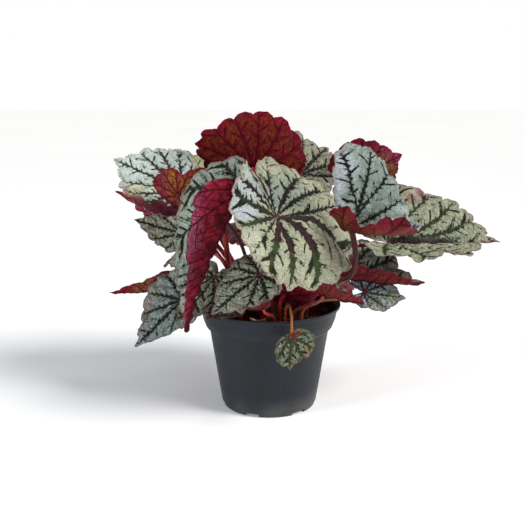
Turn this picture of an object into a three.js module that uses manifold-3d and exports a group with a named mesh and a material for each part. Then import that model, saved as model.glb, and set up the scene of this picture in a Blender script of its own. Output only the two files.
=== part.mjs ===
// Potted rex begonia in a round plastic nursery pot.
// Millimetres, +Z up, origin on the pot's axis where it stands.
import * as THREE from "three";
import { mergeVertices } from "three/addons/utils/BufferGeometryUtils.js";
import Module from "manifold-3d";

const wasm = await Module();
wasm.setup();

// Pot
const RIM_RADIUS = 60;
const POT_HEIGHT = 88;
const BASE_RADIUS = 40;
const STEP_RADIUS = 50.4;
const BAND_FLOOR = 69;
const WALL = 1.6;
const FLOOR_TOP = 5;
const FOOT_HEIGHT = 3.2;
const FOOT_RECESS = 2.6;
const FOOT_WIDTH = 5;
const PAD_RADIUS = 14;
const DRAIN_COUNT = 6;
const DRAIN_RADIUS = 4;
const DRAIN_RING = 24;
const DRAIN_SIDES = 8;
const NOTCH_WIDTH = 13;
const FIRST_NOTCH = -112;
const POT_SIDES = 32;

// Soil
const SOIL_EDGE = 78;
const SOIL_CROWN = 80;
const SOIL_GAP = 0.8;
const SOIL_MOUND = 1.2;
const SOIL_RINGS = [16, 32, 46];
const SOIL_SIDES = 24;
const HOLE_FLOOR = 68;
const HOLE_GAP = 0.6;
const HOLE_SIDES = 6;

// Blades and stalks
const BLADE = 0.9;
const LOBE_GAP = 166;
const NOTCH_SHARE = 0.35;
const CLOSE_ANGLE = 28;
const CRENATION = 0.035;
const FOLD_POWER = 1.4;
const RIPPLE_POWER = 2.5;
const LARGE_TEETH = 16;
const LARGE_RINGS = [0.34, 0.7, 1];
const SMALL_RINGS = [0.5, 1];
const STALK_SIDES = 6;
const STALK_STEPS = 9;

// Colours seen from a step away
const POT_GREY = "#3c4148";
const SOIL_BROWN = "#241a14";
const SILVER = "#a9ad95";
const CREAM = "#c2bf9f";
const BURGUNDY = "#7c2433";
const STALK_RED = "#8e2f33";
const DRY_TAN = "#a9875c";

// Each leaf: "at" is where the stalk meets the blade, "turn" is the midrib's azimuth and pitch and the roll
// about it. Pairs are left and right of the midrib, seen from above the blade. "base" is the stalk's place
// in the soil, "stalk" its radius, and "rise", "reach" and "lean" give its arch. "seat" is how far it stops
// below the blade where the blade is flat.
const LEAVES = [
  {
    name: "leaf_top_red", colour: BURGUNDY, at: [-13, 26, 198], turn: [179, 26, -55], length: 52,
    wide: [52, 38], back: [46, 34], front: 0.88, lobe: [-10, 0], curl: [30, 20], droop: -10, rear: -15,
    teeth: 19, base: [-6, 12], stalk: 2.3,
  },
  {
    name: "leaf_front_silver", colour: CREAM, at: [5, -66, 171], turn: [-60, -50, 20], length: 60,
    wide: [81, 42], back: [67, 46], front: 0.92, fold: [15, 8], lobe: [-4, 27], curl: [-24, -40],
    droop: -39, rear: -28, teeth: 21, base: [1, -19], stalk: 2.5, rise: 0.2, reach: 0.1, lean: 72,
    seat: 0.2,
  },
  {
    name: "leaf_folded_magenta", colour: BURGUNDY, at: [-20, -62, 191], turn: [172, -62, -3], length: 118,
    wide: [33, 57], back: [22, 25], front: 0.7, fold: [52, 62], lobe: [10, 5], curl: [22, 5], droop: -12,
    teeth: 21, base: [-7, -13], stalk: 2.5, rise: 0.38, reach: 0.12, lean: 62, seat: -0.5,
  },
  {
    name: "leaf_left_silver", colour: SILVER, at: [-74, 6, 146], turn: [178, 14, 47], length: 39,
    wide: [20, 24], back: [16, 18], front: 0.75, droop: 10, teeth: 15, base: [-27, 2], stalk: 1.6,
    rise: 0.75, reach: 0.4, lean: 60,
  },
  {
    name: "leaf_upper_left", colour: SILVER, at: [-73, 4, 183], turn: [168, 22, 46], length: 60,
    wide: [44, 42], back: [20, 22], front: 0.85, curl: [50, 0], teeth: 19, base: [-34, 16], stalk: 2.2,
    rise: 1.25, reach: 0.1, lean: 69,
  },
  {
    name: "leaf_under_left", colour: BURGUNDY, at: [-77, 25, 165], turn: [202, 5, -28], length: 54,
    wide: [26, 28], back: [18, 18], front: 0.75, droop: 30, teeth: 15, base: [-23, -6], stalk: 1.8,
    reach: 0.2,
  },
  {
    name: "leaf_curled_gold", colour: BURGUNDY, at: [-72, -23, 182], turn: [165, 50, -70], length: 32,
    wide: [26, 17], back: [20, 12], front: 0.65, fold: [15, -5], droop: 30, teeth: 13, base: [-14, -12],
    stalk: 1.4, rise: 0.98, reach: 0.23, lean: 70,
  },
  {
    name: "leaf_pale_green", colour: CREAM, at: [-54, 47, 182], turn: [180, 42, 39], length: 38,
    wide: [26, 34], back: [18, 18], front: 0.8, curl: [0, -35], droop: 10, teeth: 13, base: [-19, 24],
    stalk: 1.7, rise: 0.3, reach: 0.45,
  },
  {
    name: "leaf_upper_right", colour: SILVER, at: [28, 39, 192], turn: [49, 34, -25], length: 46,
    wide: [46, 30], back: [28, 26], front: 0.85, fold: [22, 0], droop: -25, teeth: 17, base: [4, 12],
    stalk: 2.2, rise: 0.7, reach: 0.2,
  },
  {
    name: "leaf_cup", colour: SILVER, at: [62, -51, 160], turn: [-22, -1, 4], length: 49, wide: [73, 32],
    back: [12, 24], front: 0.92, fold: [82, -17], lobe: [5, 0], curl: [74, 126], droop: 17, rear: -20,
    teeth: 19, base: [2, -3], stalk: 2.2, rise: 0.64, reach: 0.78, lean: 108,
  },
  {
    name: "leaf_right_red", colour: BURGUNDY, at: [80, 34, 192], turn: [-10, 28, 72], length: 36,
    wide: [26, 32], back: [24, 28], front: 0.85, curl: [0, -8], teeth: 15, base: [18, 10], stalk: 1.8,
  },
  {
    name: "leaf_far_right", colour: CREAM, at: [99, -2, 139], turn: [1, -1, -4], length: 96,
    wide: [54, 50], back: [40, 34], front: 0.8, fold: [54, 5], lobe: [0, 8], curl: [-10, -8], droop: 4,
    wave: 2.6, waves: 9, teeth: 23, base: [31, -2], stalk: 2.5, seat: 0.2,
  },
  {
    name: "leaf_folded_right", colour: BURGUNDY, at: [61, -22, 115], turn: [-17, -8, -4], length: 62,
    wide: [40, 22], back: [18, 14], front: 0.75, fold: [42, 52], curl: [-10, 0], droop: 18, teeth: 15,
    base: [26, -12], stalk: 2, seat: -0.1,
  },
  {
    name: "leaf_small_right", colour: SILVER, at: [76, -30, 104], turn: [-14, -4, -42], length: 32,
    wide: [18, 19], back: [15, 16], front: 0.88, lobe: [10, 0], droop: -5, teeth: 13, base: [26, -24],
    stalk: 1.3,
  },
  {
    name: "leaf_young_right", colour: BURGUNDY, at: [42, -52, 107], turn: [-10, -10, 0], length: 31,
    wide: [12, 14], back: [10, 10], front: 0.7, fold: [60, 60], droop: 8, teeth: 11, base: [18, -32],
    stalk: 1.3, seat: 0.2,
  },
  {
    name: "leaf_hanging", colour: SILVER, at: [16, -71, 79], turn: [-97, -76, 0], length: 29,
    wide: [18, 14], back: [8, 3], front: 0.88, teeth: 13, base: [12, -44], stalk: 1, rise: 1.2, reach: 1,
    lean: 40,
  },
  {
    name: "leaf_lower_left", colour: SILVER, at: [-72, -17, 94], turn: [203, -41, 29], length: 52,
    wide: [24, 32], back: [16, 25], front: 0.72, fold: [4, 0], curl: [0, 15], teeth: 17, base: [-38, -12],
    stalk: 1.8, reach: 0.5,
  },
  {
    name: "leaf_thin_left", colour: BURGUNDY, at: [-72, 16, 100], turn: [181, -13, -45], length: 65,
    wide: [16, 19], back: [14, 14], front: 0.7, dent: 0.15, fold: [25, 20], droop: 16, teeth: 15,
    base: [-38, 8], stalk: 1.6,
  },
  {
    name: "leaf_cream_left", colour: CREAM, at: [-45, -19, 114], turn: [224, -42, 22], length: 52,
    wide: [22, 20], back: [14, 16], front: 0.75, fold: [0, -8], curl: [0, -14], droop: 25, teeth: 15,
    base: [-39, -20], stalk: 1.7, rise: 0.1, reach: 0.1, lean: 56,
  },
  {
    name: "leaf_front_left", colour: SILVER, at: [-8, -59, 125], turn: [205, -32, 30], length: 46,
    wide: [22, 24], back: [14, 18], front: 0.85, curl: [-15, 0], droop: -5, teeth: 15, base: [-6, -30],
    stalk: 1.8, lean: 60,
  },
  {
    name: "leaf_rim_left", colour: SILVER, at: [-28, -47, 101], turn: [203, -30, 20], length: 25,
    wide: [16, 16], back: [8, 8], front: 0.82, droop: 12, teeth: 11, base: [-23, -36], stalk: 1.2,
    rise: 1, reach: 0.7, lean: 78, seat: 0.5,
  },
  {
    name: "leaf_young_left", colour: BURGUNDY, at: [-5, -65, 100], turn: [185, 3, 0], length: 29,
    wide: [9, 8], back: [6, 6], front: 0.6, fold: [60, 60], droop: 15, teeth: 11, base: [4, -44],
    stalk: 1.1, reach: 0.2, lean: 76,
  },
  {
    name: "leaf_under_front", colour: BURGUNDY, at: [12, -24, 100], turn: [-14, 2, 72], length: 35,
    wide: [14, 11], back: [10, 10], front: 0.75, fold: [20, 14], droop: 40, teeth: 11, base: [8, -30],
    stalk: 1.5, rise: 0.35,
  },
  {
    name: "leaf_back_centre", colour: SILVER, at: [-4, 60, 148], turn: [92, -24, 4], length: 72,
    wide: [42, 38], back: [32, 30], front: 0.82, fold: [-8, -8], curl: [-20, -20], droop: -25, teeth: 19,
    base: [-3, 23], stalk: 2.4,
  },
  {
    name: "leaf_back_left", colour: CREAM, at: [-53, 56, 134], turn: [148, -22, 8], length: 64,
    wide: [44, 40], back: [30, 26], front: 0.8, fold: [-5, 5], curl: [-20, -10], droop: -25, teeth: 19,
    base: [-26, 14], stalk: 2.2, rise: 0.55, reach: 0.25, lean: 76,
  },
  {
    name: "leaf_back_right", colour: SILVER, at: [46, 48, 142], turn: [38, -22, -6], length: 66,
    wide: [42, 46], back: [28, 28], front: 0.8, fold: [5, -6], curl: [-15, -20], droop: -25, teeth: 19,
    base: [18, 24], stalk: 2.2,
  },
  {
    name: "leaf_back_low_left", colour: SILVER, at: [-42, 58, 100], turn: [146, -26, 0], length: 50,
    wide: [30, 32], back: [20, 20], front: 0.8, droop: -20, teeth: 15, base: [-29, 26], stalk: 1.8,
    rise: 0.4, reach: 0.15, lean: 48,
  },
  {
    name: "leaf_back_low_right", colour: CREAM, at: [44, 42, 104], turn: [40, -24, 0], length: 52,
    wide: [34, 30], back: [22, 20], front: 0.8, droop: -20, teeth: 15, base: [32, 26], stalk: 1.8,
  },
];

// A dry brown leaf without a stalk, lying on the soil and over the rim.
const DRIED_LEAF = {
  name: "dried_leaf", at: [-3, -40, 81.7], turn: [245, 11, -22], length: 27, wide: [9, 10], back: [6, 6],
  front: 0.7, fold: [10, 20], curl: [30, -20], droop: 30, wave: 1.2, teeth: 9,
};

// A flat blade with a slightly waved margin on an arching stalk. "fold", "lobe" and "curl" bend it across
// the midrib: from the midrib, over the back lobes and towards the margin. "droop" and "rear" bend it along.
const LEAF_DEFAULTS = {
  front: 0.8,
  dent: 0.04,
  fold: [0, 0],
  lobe: [0, 0],
  curl: [0, 0],
  droop: 0,
  rear: 0,
  wave: 1.6,
  waves: 6,
  rise: 0.4,
  reach: 0.35,
  lean: 68,
  seat: 0.4,
};

// How a blade bends is worked out in this many short steps along a line from the midrib or the stalk.
const BEND_STEPS = 8;
const OUTLINE_SAMPLES = 720;

function radians(degrees) {
  return THREE.MathUtils.degToRad(degrees);
}

function smooth(value) {
  const t = THREE.MathUtils.clamp(value, 0, 1);
  return t * t * (3 - 2 * t);
}

// Smooth outline of a blade: distance from the stalk at an angle from the midrib, positive to its right.
// It is an ellipse on each side, joined to the tip by the line that touches it, and drawn in at the sinus.
function outlineRadius(leaf, angle) {
  const side = angle > 0 ? 1 : 0;
  const turn = Math.abs(angle);
  const width = leaf.wide[side];
  const reach = leaf.front * leaf.length;
  const depth = turn < Math.PI / 2 ? reach : leaf.back[side];
  let radius = 1 / Math.hypot(Math.cos(turn) / depth, Math.sin(turn) / width);
  const touchAlong = (reach * reach) / leaf.length;
  const touchAcross = width * Math.sqrt(1 - leaf.front ** 2);
  const touchAngle = Math.atan2(touchAcross, touchAlong);
  const tipAngle = Math.atan2(touchAcross, leaf.length - touchAlong);
  if (turn < touchAngle) {
    const dent = 1 - leaf.dent * Math.sin((Math.PI * turn) / touchAngle) ** 2;
    radius = (dent * leaf.length * Math.sin(tipAngle)) / Math.sin(tipAngle + turn);
  }
  const close = THREE.MathUtils.clamp((radians(LOBE_GAP) - turn) / radians(CLOSE_ANGLE), 0, 1);
  return radius * (NOTCH_SHARE + (1 - NOTCH_SHARE) * Math.sin((close * Math.PI) / 2));
}

// Angles of the margin's points, evenly spaced along the outline, with the tip among them.
function marginAngles(leaf, count) {
  const limit = radians(LOBE_GAP);
  const lengths = [0];
  let last = null;
  for (let i = 0; i <= OUTLINE_SAMPLES; i += 1) {
    const angle = -limit + (2 * limit * i) / OUTLINE_SAMPLES;
    const radius = outlineRadius(leaf, angle);
    const point = new THREE.Vector2(radius * Math.sin(angle), radius * Math.cos(angle));
    if (last) {
      lengths.push(lengths[i - 1] + point.distanceTo(last));
    }
    last = point;
  }
  const middle = OUTLINE_SAMPLES / 2;
  const angles = [];
  for (let j = 0; j <= count; j += 1) {
    const half = (2 * j) / count - 1;
    const span = half < 0 ? lengths[middle] : lengths[OUTLINE_SAMPLES] - lengths[middle];
    const target = lengths[middle] + half * span;
    let k = 0;
    while (k < OUTLINE_SAMPLES - 1 && lengths[k + 1] < target) {
      k += 1;
    }
    const part = (target - lengths[k]) / (lengths[k + 1] - lengths[k]);
    angles.push(-limit + (2 * limit * (k + THREE.MathUtils.clamp(part, 0, 1))) / OUTLINE_SAMPLES);
  }
  return angles;
}

// Unit vectors of a blade at its stalk: to its right, along the midrib to the tip, and up from its face.
function bladeAxes(leaf) {
  const [azimuth, pitch, roll] = leaf.turn.map(radians);
  const along = new THREE.Vector3(
    Math.cos(pitch) * Math.cos(azimuth),
    Math.cos(pitch) * Math.sin(azimuth),
    Math.sin(pitch),
  );
  const level = new THREE.Vector3(Math.sin(azimuth), -Math.cos(azimuth), 0);
  const raised = new THREE.Vector3().crossVectors(level, along);
  const right = level.clone().multiplyScalar(Math.cos(roll)).addScaledVector(raised, Math.sin(roll));
  const up = level.clone().multiplyScalar(-Math.sin(roll)).addScaledVector(raised, Math.cos(roll));
  return { right, along, up };
}

// A line of a given length that starts at one angle and bends by another, more and more towards its end.
function bentLine(length, start, bend, power, full) {
  let across = 0;
  let rise = 0;
  for (let i = 0; i < BEND_STEPS; i += 1) {
    const angle = start + bend * ((length * (i + 0.5)) / (BEND_STEPS * full)) ** power;
    across += (Math.cos(angle) * length) / BEND_STEPS;
    rise += (Math.sin(angle) * length) / BEND_STEPS;
  }
  return { across, rise, angle: start + bend * (length / full) ** power };
}

// A point of a blade, given by its distance and angle from the stalk, raised along the blade's normal.
// At the midrib both halves meet on the line that halves the angle between them, so neither cuts the other.
function bladePoint(leaf, axes, angle, radius, share, height) {
  const u = radius * Math.sin(angle);
  const v = radius * Math.cos(angle);
  const side = u < 0 ? 0 : 1;
  const sideSign = u < 0 ? -1 : 1;
  const starts = [0, 1].map((k) => radians(leaf.fold[k] + leaf.lobe[k] * smooth(-v / leaf.back[k])));
  const start = starts[side];
  const cross = bentLine(Math.abs(u), start, radians(leaf.curl[side]), FOLD_POWER, leaf.wide[side]);
  const ripple = leaf.wave * share ** RIPPLE_POWER * Math.sin(leaf.waves * angle);
  const lift = height + ripple;
  const meeting = lift * Math.tan((starts[0] + starts[1]) / 2);
  let shift = 0;
  if (meeting > 0) {
    shift = Math.hypot(u, meeting) - Math.abs(u);
  } else if (u === 0) {
    shift = meeting;
  }
  const x = sideSign * (cross.across + Math.cos(start) * shift - Math.sin(cross.angle) * lift);
  const z = cross.rise + Math.sin(start) * shift + Math.cos(cross.angle) * lift;
  const ahead = v >= 0;
  const aheadSign = ahead ? 1 : -1;
  const full = ahead ? leaf.length : Math.max(...leaf.back);
  const rib = bentLine(Math.abs(v), 0, radians(ahead ? leaf.droop : leaf.rear), FOLD_POWER, full);
  const y = aheadSign * (rib.across - Math.sin(rib.angle) * z);
  const up = rib.rise + Math.cos(rib.angle) * z;
  return new THREE.Vector3(...leaf.at)
    .addScaledVector(axes.right, x)
    .addScaledVector(axes.along, y)
    .addScaledVector(axes.up, up);
}

// A closed thin blade. Both faces have the same triangles, and every second point of the margin stands out.
function bladeGeometry(leaf) {
  const axes = bladeAxes(leaf);
  const count = 2 * leaf.teeth;
  const angles = marginAngles(leaf, count);
  const shares = leaf.teeth > LARGE_TEETH ? LARGE_RINGS : SMALL_RINGS;
  const positions = [];
  const faces = [];
  const rowSize = count + 1;
  const faceSize = 1 + shares.length * rowSize;
  for (const height of [BLADE / 2, -BLADE / 2]) {
    positions.push(...bladePoint(leaf, axes, 0, 0, 0, height).toArray());
    for (const share of shares) {
      for (let j = 0; j < rowSize; j += 1) {
        const tooth = (j % 2 === 1 ? CRENATION : -CRENATION) * share ** 3;
        const radius = share * (1 + tooth) * outlineRadius(leaf, angles[j]);
        positions.push(...bladePoint(leaf, axes, angles[j], radius, share, height).toArray());
      }
    }
  }
  const top = (ring, j) => 1 + ring * rowSize + j;
  const low = (ring, j) => faceSize + top(ring, j);
  const both = (a, b, c) => {
    faces.push(a, b, c);
    faces.push(faceSize + a, faceSize + c, faceSize + b);
  };
  const rim = shares.length - 1;
  for (let j = 0; j < count; j += 1) {
    both(0, top(0, j + 1), top(0, j));
    for (let ring = 0; ring < rim; ring += 1) {
      both(top(ring, j), top(ring, j + 1), top(ring + 1, j + 1));
      both(top(ring, j), top(ring + 1, j + 1), top(ring + 1, j));
    }
    faces.push(top(rim, j), top(rim, j + 1), low(rim, j + 1));
    faces.push(top(rim, j), low(rim, j + 1), low(rim, j));
  }
  for (let ring = 0; ring <= rim; ring += 1) {
    const inner = ring === 0 ? 0 : top(ring - 1, 0);
    const innerLow = inner + faceSize;
    faces.push(inner, top(ring, 0), low(ring, 0));
    faces.push(inner, low(ring, 0), innerLow);
    const last = ring === 0 ? 0 : top(ring - 1, count);
    const lastLow = last + faceSize;
    faces.push(top(ring, count), last, lastLow);
    faces.push(top(ring, count), lastLow, low(ring, count));
  }
  const geometry = new THREE.BufferGeometry();
  geometry.setAttribute("position", new THREE.Float32BufferAttribute(positions, 3));
  geometry.setIndex(faces);
  return geometry;
}

// The stalk reaches the underside of its blade from below and behind, and stops just short of it.
function stalkPath(leaf) {
  const axes = bladeAxes(leaf);
  const lean = radians(leaf.lean);
  const away = axes.up.clone().multiplyScalar(-Math.sin(lean)).addScaledVector(axes.along, -Math.cos(lean));
  const back = (leaf.seat + BLADE / 2 + leaf.stalk * Math.abs(Math.cos(lean))) / Math.sin(lean);
  const end = new THREE.Vector3(...leaf.at).addScaledVector(away, back);
  const foot = new THREE.Vector3(leaf.base[0], leaf.base[1], HOLE_FLOOR + HOLE_GAP);
  const mouth = new THREE.Vector3(leaf.base[0], leaf.base[1], SOIL_CROWN + 1);
  const span = end.distanceTo(mouth);
  const path = new THREE.CurvePath();
  path.add(new THREE.LineCurve3(foot, mouth));
  path.add(
    new THREE.CubicBezierCurve3(
      mouth,
      mouth.clone().add(new THREE.Vector3(0, 0, leaf.rise * span)),
      end.clone().addScaledVector(away, leaf.reach * span),
      end,
    ),
  );
  return path;
}

function roundShape(radius, sides) {
  const points = [];
  for (let i = 0; i < sides; i += 1) {
    const angle = (2 * Math.PI * i) / sides;
    points.push(new THREE.Vector2(radius * Math.cos(angle), radius * Math.sin(angle)));
  }
  return new THREE.Shape(points);
}

function stalkGeometry(leaf) {
  return new THREE.ExtrudeGeometry(roundShape(leaf.stalk, STALK_SIDES), {
    steps: STALK_STEPS,
    extrudePath: stalkPath(leaf),
  });
}

// Shared vertices merged and collapsed triangles dropped, so that a lathe or tube is one closed body.
function closedGeometry(geometry) {
  const bare = geometry.clone();
  bare.deleteAttribute("normal");
  bare.deleteAttribute("uv");
  const merged = mergeVertices(bare, 1e-4);
  const index = merged.index.array;
  const kept = [];
  for (let i = 0; i < index.length; i += 3) {
    const [a, b, c] = [index[i], index[i + 1], index[i + 2]];
    if (a !== b && b !== c && c !== a) {
      kept.push(a, b, c);
    }
  }
  merged.setIndex(kept);
  return merged;
}

function toSolid(geometry) {
  const closed = closedGeometry(geometry);
  const mesh = new wasm.Mesh({
    numProp: 3,
    vertProperties: new Float32Array(closed.attributes.position.array),
    triVerts: new Uint32Array(closed.index.array),
  });
  return new wasm.Manifold(mesh);
}

function toGeometry(solid) {
  const mesh = solid.getMesh();
  const geometry = new THREE.BufferGeometry();
  geometry.setAttribute("position", new THREE.Float32BufferAttribute(mesh.vertProperties, 3));
  geometry.setIndex(new THREE.Uint32BufferAttribute(mesh.triVerts, 1));
  return geometry;
}

function lathe(profile, sides) {
  const points = profile.map(([radius, height]) => new THREE.Vector2(radius, height));
  const geometry = new THREE.LatheGeometry(points, sides);
  geometry.rotateX(Math.PI / 2);
  return geometry;
}

function upright(radius, low, high, sides, x, y) {
  const geometry = new THREE.CylinderGeometry(radius, radius, high - low, sides);
  geometry.rotateX(Math.PI / 2);
  geometry.translate(x, y, (low + high) / 2);
  return geometry;
}

// Outer wall of the pot from the foot up: a cone, a sloping step, the rim band and the rolled lip.
function potWall() {
  return [
    [BASE_RADIUS - 0.8, 0],
    [BASE_RADIUS, FOOT_HEIGHT],
    [STEP_RADIUS, BAND_FLOOR - 2.5],
    [STEP_RADIUS + 3.2, BAND_FLOOR + 0.5],
    [RIM_RADIUS - 4, BAND_FLOOR + 7],
    [RIM_RADIUS - 2.4, POT_HEIGHT - 4],
    [RIM_RADIUS, POT_HEIGHT - 1.4],
    [RIM_RADIUS, POT_HEIGHT],
  ];
}

function potInside() {
  return [
    [RIM_RADIUS - WALL, POT_HEIGHT],
    [RIM_RADIUS - 2.4 - WALL, POT_HEIGHT - 3.5],
    [RIM_RADIUS - 4 - WALL, BAND_FLOOR + 7],
    [STEP_RADIUS + 3.2 - WALL, BAND_FLOOR + 1],
    [STEP_RADIUS - WALL, BAND_FLOOR - 2],
    [BASE_RADIUS + 0.8 - WALL, FLOOR_TOP],
  ];
}

function potGeometry() {
  const footInner = BASE_RADIUS - FOOT_WIDTH;
  const profile = [
    [0, 0],
    [PAD_RADIUS, 0],
    [PAD_RADIUS, FOOT_RECESS],
    [footInner, FOOT_RECESS],
    [footInner, 0],
    ...potWall(),
    ...potInside(),
    [0, FLOOR_TOP],
  ];
  let pot = toSolid(lathe(profile, POT_SIDES));
  for (let i = 0; i < DRAIN_COUNT; i += 1) {
    const angle = ((i + 0.5) * 2 * Math.PI) / DRAIN_COUNT + radians(FIRST_NOTCH);
    const drain = upright(
      DRAIN_RADIUS,
      -1,
      FLOOR_TOP + 1,
      DRAIN_SIDES,
      DRAIN_RING * Math.cos(angle),
      DRAIN_RING * Math.sin(angle),
    );
    pot = pot.subtract(toSolid(drain));
    const notch = new THREE.BoxGeometry(FOOT_WIDTH + 4, NOTCH_WIDTH, 2 * FOOT_RECESS);
    notch.translate(BASE_RADIUS - FOOT_WIDTH / 2 + 1, 0, 0);
    notch.rotateZ((i * 2 * Math.PI) / DRAIN_COUNT + radians(FIRST_NOTCH));
    pot = pot.subtract(toSolid(notch));
  }
  return toGeometry(pot);
}

// Seeded numbers from 0 to 1 for the soil's small mounds.
function randomNumbers(seed) {
  let state = seed;
  return () => {
    state = (state * 16807) % 2147483647;
    return state / 2147483647;
  };
}

// Radius of the pot's inside at a height.
function insideRadius(height) {
  const wall = potInside();
  for (let i = 0; i + 1 < wall.length; i += 1) {
    const [upperRadius, upper] = wall[i];
    const [lowerRadius, lower] = wall[i + 1];
    if (height <= upper && height >= lower) {
      return lowerRadius + ((upperRadius - lowerRadius) * (height - lower)) / (upper - lower);
    }
  }
  return BASE_RADIUS - WALL;
}

// Soil that fills the pot to just below the rim, mounded towards the crown, with a hole for each stalk.
function soilGeometry() {
  const floor = FLOOR_TOP + SOIL_GAP;
  const edge = insideRadius(SOIL_EDGE) - SOIL_GAP;
  const step = BAND_FLOOR - 2;
  const profile = [
    [0, floor],
    [insideRadius(floor) - SOIL_GAP, floor],
    [insideRadius(step) - SOIL_GAP, step],
    [edge, SOIL_EDGE],
  ];
  for (const ring of SOIL_RINGS.toReversed()) {
    profile.push([ring, SOIL_CROWN + (SOIL_EDGE - SOIL_CROWN) * (ring / edge) ** 2]);
  }
  profile.push([0, SOIL_CROWN]);
  const body = closedGeometry(lathe(profile, SOIL_SIDES));
  const random = randomNumbers(7);
  const places = body.attributes.position;
  for (let i = 0; i < places.count; i += 1) {
    const distance = Math.hypot(places.getX(i), places.getY(i));
    if (places.getZ(i) > SOIL_EDGE && distance > 1 && distance < edge - 1) {
      places.setZ(i, places.getZ(i) - SOIL_MOUND * random());
    }
  }
  let soil = toSolid(body);
  for (const leaf of LEAVES) {
    const hole = upright(leaf.stalk + HOLE_GAP, HOLE_FLOOR, SOIL_CROWN + 2, HOLE_SIDES, ...leaf.base);
    soil = soil.subtract(toSolid(hole));
  }
  return toGeometry(soil);
}

function addMesh(group, name, geometry, color, roughness) {
  const material = new THREE.MeshStandardMaterial({ color, roughness, metalness: 0 });
  const mesh = new THREE.Mesh(geometry, material);
  mesh.name = name;
  group.add(mesh);
}

const group = new THREE.Group();
addMesh(group, "pot", potGeometry(), POT_GREY, 0.45);
addMesh(group, "soil", soilGeometry(), SOIL_BROWN, 0.95);
for (const entry of LEAVES) {
  const leaf = { ...LEAF_DEFAULTS, ...entry };
  addMesh(group, leaf.name, bladeGeometry(leaf), leaf.colour, 0.55);
  addMesh(group, leaf.name.replace("leaf", "stalk"), stalkGeometry(leaf), STALK_RED, 0.5);
}
addMesh(group, DRIED_LEAF.name, bladeGeometry({ ...LEAF_DEFAULTS, ...DRIED_LEAF }), DRY_TAN, 0.9);

export default group;
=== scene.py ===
"""Potted rex begonia: fine leaf blades, stalks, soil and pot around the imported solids.

Shapes are worked out in millimetres and become metres when a mesh is made.
"""
import math
import random
from collections import namedtuple
from itertools import combinations
from types import SimpleNamespace

import bpy
import numpy as np
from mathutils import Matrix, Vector


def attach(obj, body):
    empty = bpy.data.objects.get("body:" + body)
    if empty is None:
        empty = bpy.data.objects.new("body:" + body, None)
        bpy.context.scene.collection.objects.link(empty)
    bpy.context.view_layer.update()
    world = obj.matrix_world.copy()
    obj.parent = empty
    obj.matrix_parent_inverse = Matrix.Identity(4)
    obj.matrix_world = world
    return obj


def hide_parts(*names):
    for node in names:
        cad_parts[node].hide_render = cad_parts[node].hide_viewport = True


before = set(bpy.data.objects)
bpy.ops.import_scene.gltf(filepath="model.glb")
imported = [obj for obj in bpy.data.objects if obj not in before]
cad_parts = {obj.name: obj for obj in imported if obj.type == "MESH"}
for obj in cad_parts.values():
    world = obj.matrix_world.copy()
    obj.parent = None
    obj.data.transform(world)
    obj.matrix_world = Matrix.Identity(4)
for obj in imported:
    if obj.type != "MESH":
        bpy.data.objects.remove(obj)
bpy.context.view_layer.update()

MM = 0.001

# Pot: radii and heights of its outer wall, from the foot up to the rim
BASE_RADIUS = 40.0
STEP_RADIUS = 50.4
BAND_RADIUS = 53.6
SLOPE_RADIUS = 56.0
NECK_RADIUS = 57.6
RIM_RADIUS = 60.0
BAND_FLOOR = 69.0
STEP_FLOOR = BAND_FLOOR - 2.5
STEP_TOP = BAND_FLOOR + 0.5
SLOPE_HEIGHT = 76.0
NECK_HEIGHT = 84.0
POT_HEIGHT = 88.0
LIP_FLOOR = POT_HEIGHT - 2.2
WALL = 1.6
FLOOR_TOP = 5.0
FOOT_HEIGHT = 3.2
FOOT_RECESS = 2.6
FOOT_WIDTH = 5.0
FOOT_TAPER = 0.8
FOOT_LEDGE = 0.55
PAD_RADIUS = 14.0
DRAIN_COUNT = 6
DRAIN_RADIUS = 4.0
DRAIN_RING = 24.0
DRAIN_SIDES = 32
FLOOR_MIDDLE = 3.0
NOTCH_WIDTH = 13.0
NOTCH_DEPTH = FOOT_WIDTH + 4
NOTCH_RING = BASE_RADIUS - FOOT_WIDTH / 2 + 1
FIRST_NOTCH = -112.0
SEAMS = (-78.5, 101.5)
SEAM_HEIGHT = 0.22
SEAM_WIDTH = 0.35
SEAM_STEPS = (-0.9, -0.45, -0.2, 0.0, 0.2, 0.45, 0.9)
SEAM_FLOOR = 3.5
SEAM_TOP = POT_HEIGHT - 3
CORNER_RADIUS = 0.5
CORNER_STEPS = 3
PROFILE_STEP = 6.0
POT_SIDES = 180
POT_SHARP_ANGLE = 40.0
SHARP_ANGLE = 45.0

# Heights and radii of the wall: outside as two rows, inside as pairs from which the wall is taken off
OUTSIDE = (
    (3.0, STEP_FLOOR, STEP_TOP, SLOPE_HEIGHT, NECK_HEIGHT),
    (BASE_RADIUS, STEP_RADIUS, BAND_RADIUS, SLOPE_RADIUS, NECK_RADIUS),
)
INSIDE = (
    (FLOOR_TOP, BASE_RADIUS + 0.8), (BAND_FLOOR - 2, STEP_RADIUS), (BAND_FLOOR + 1, BAND_RADIUS),
    (SLOPE_HEIGHT, SLOPE_RADIUS), (POT_HEIGHT - 3.5, NECK_RADIUS), (POT_HEIGHT, RIM_RADIUS),
)

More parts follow.
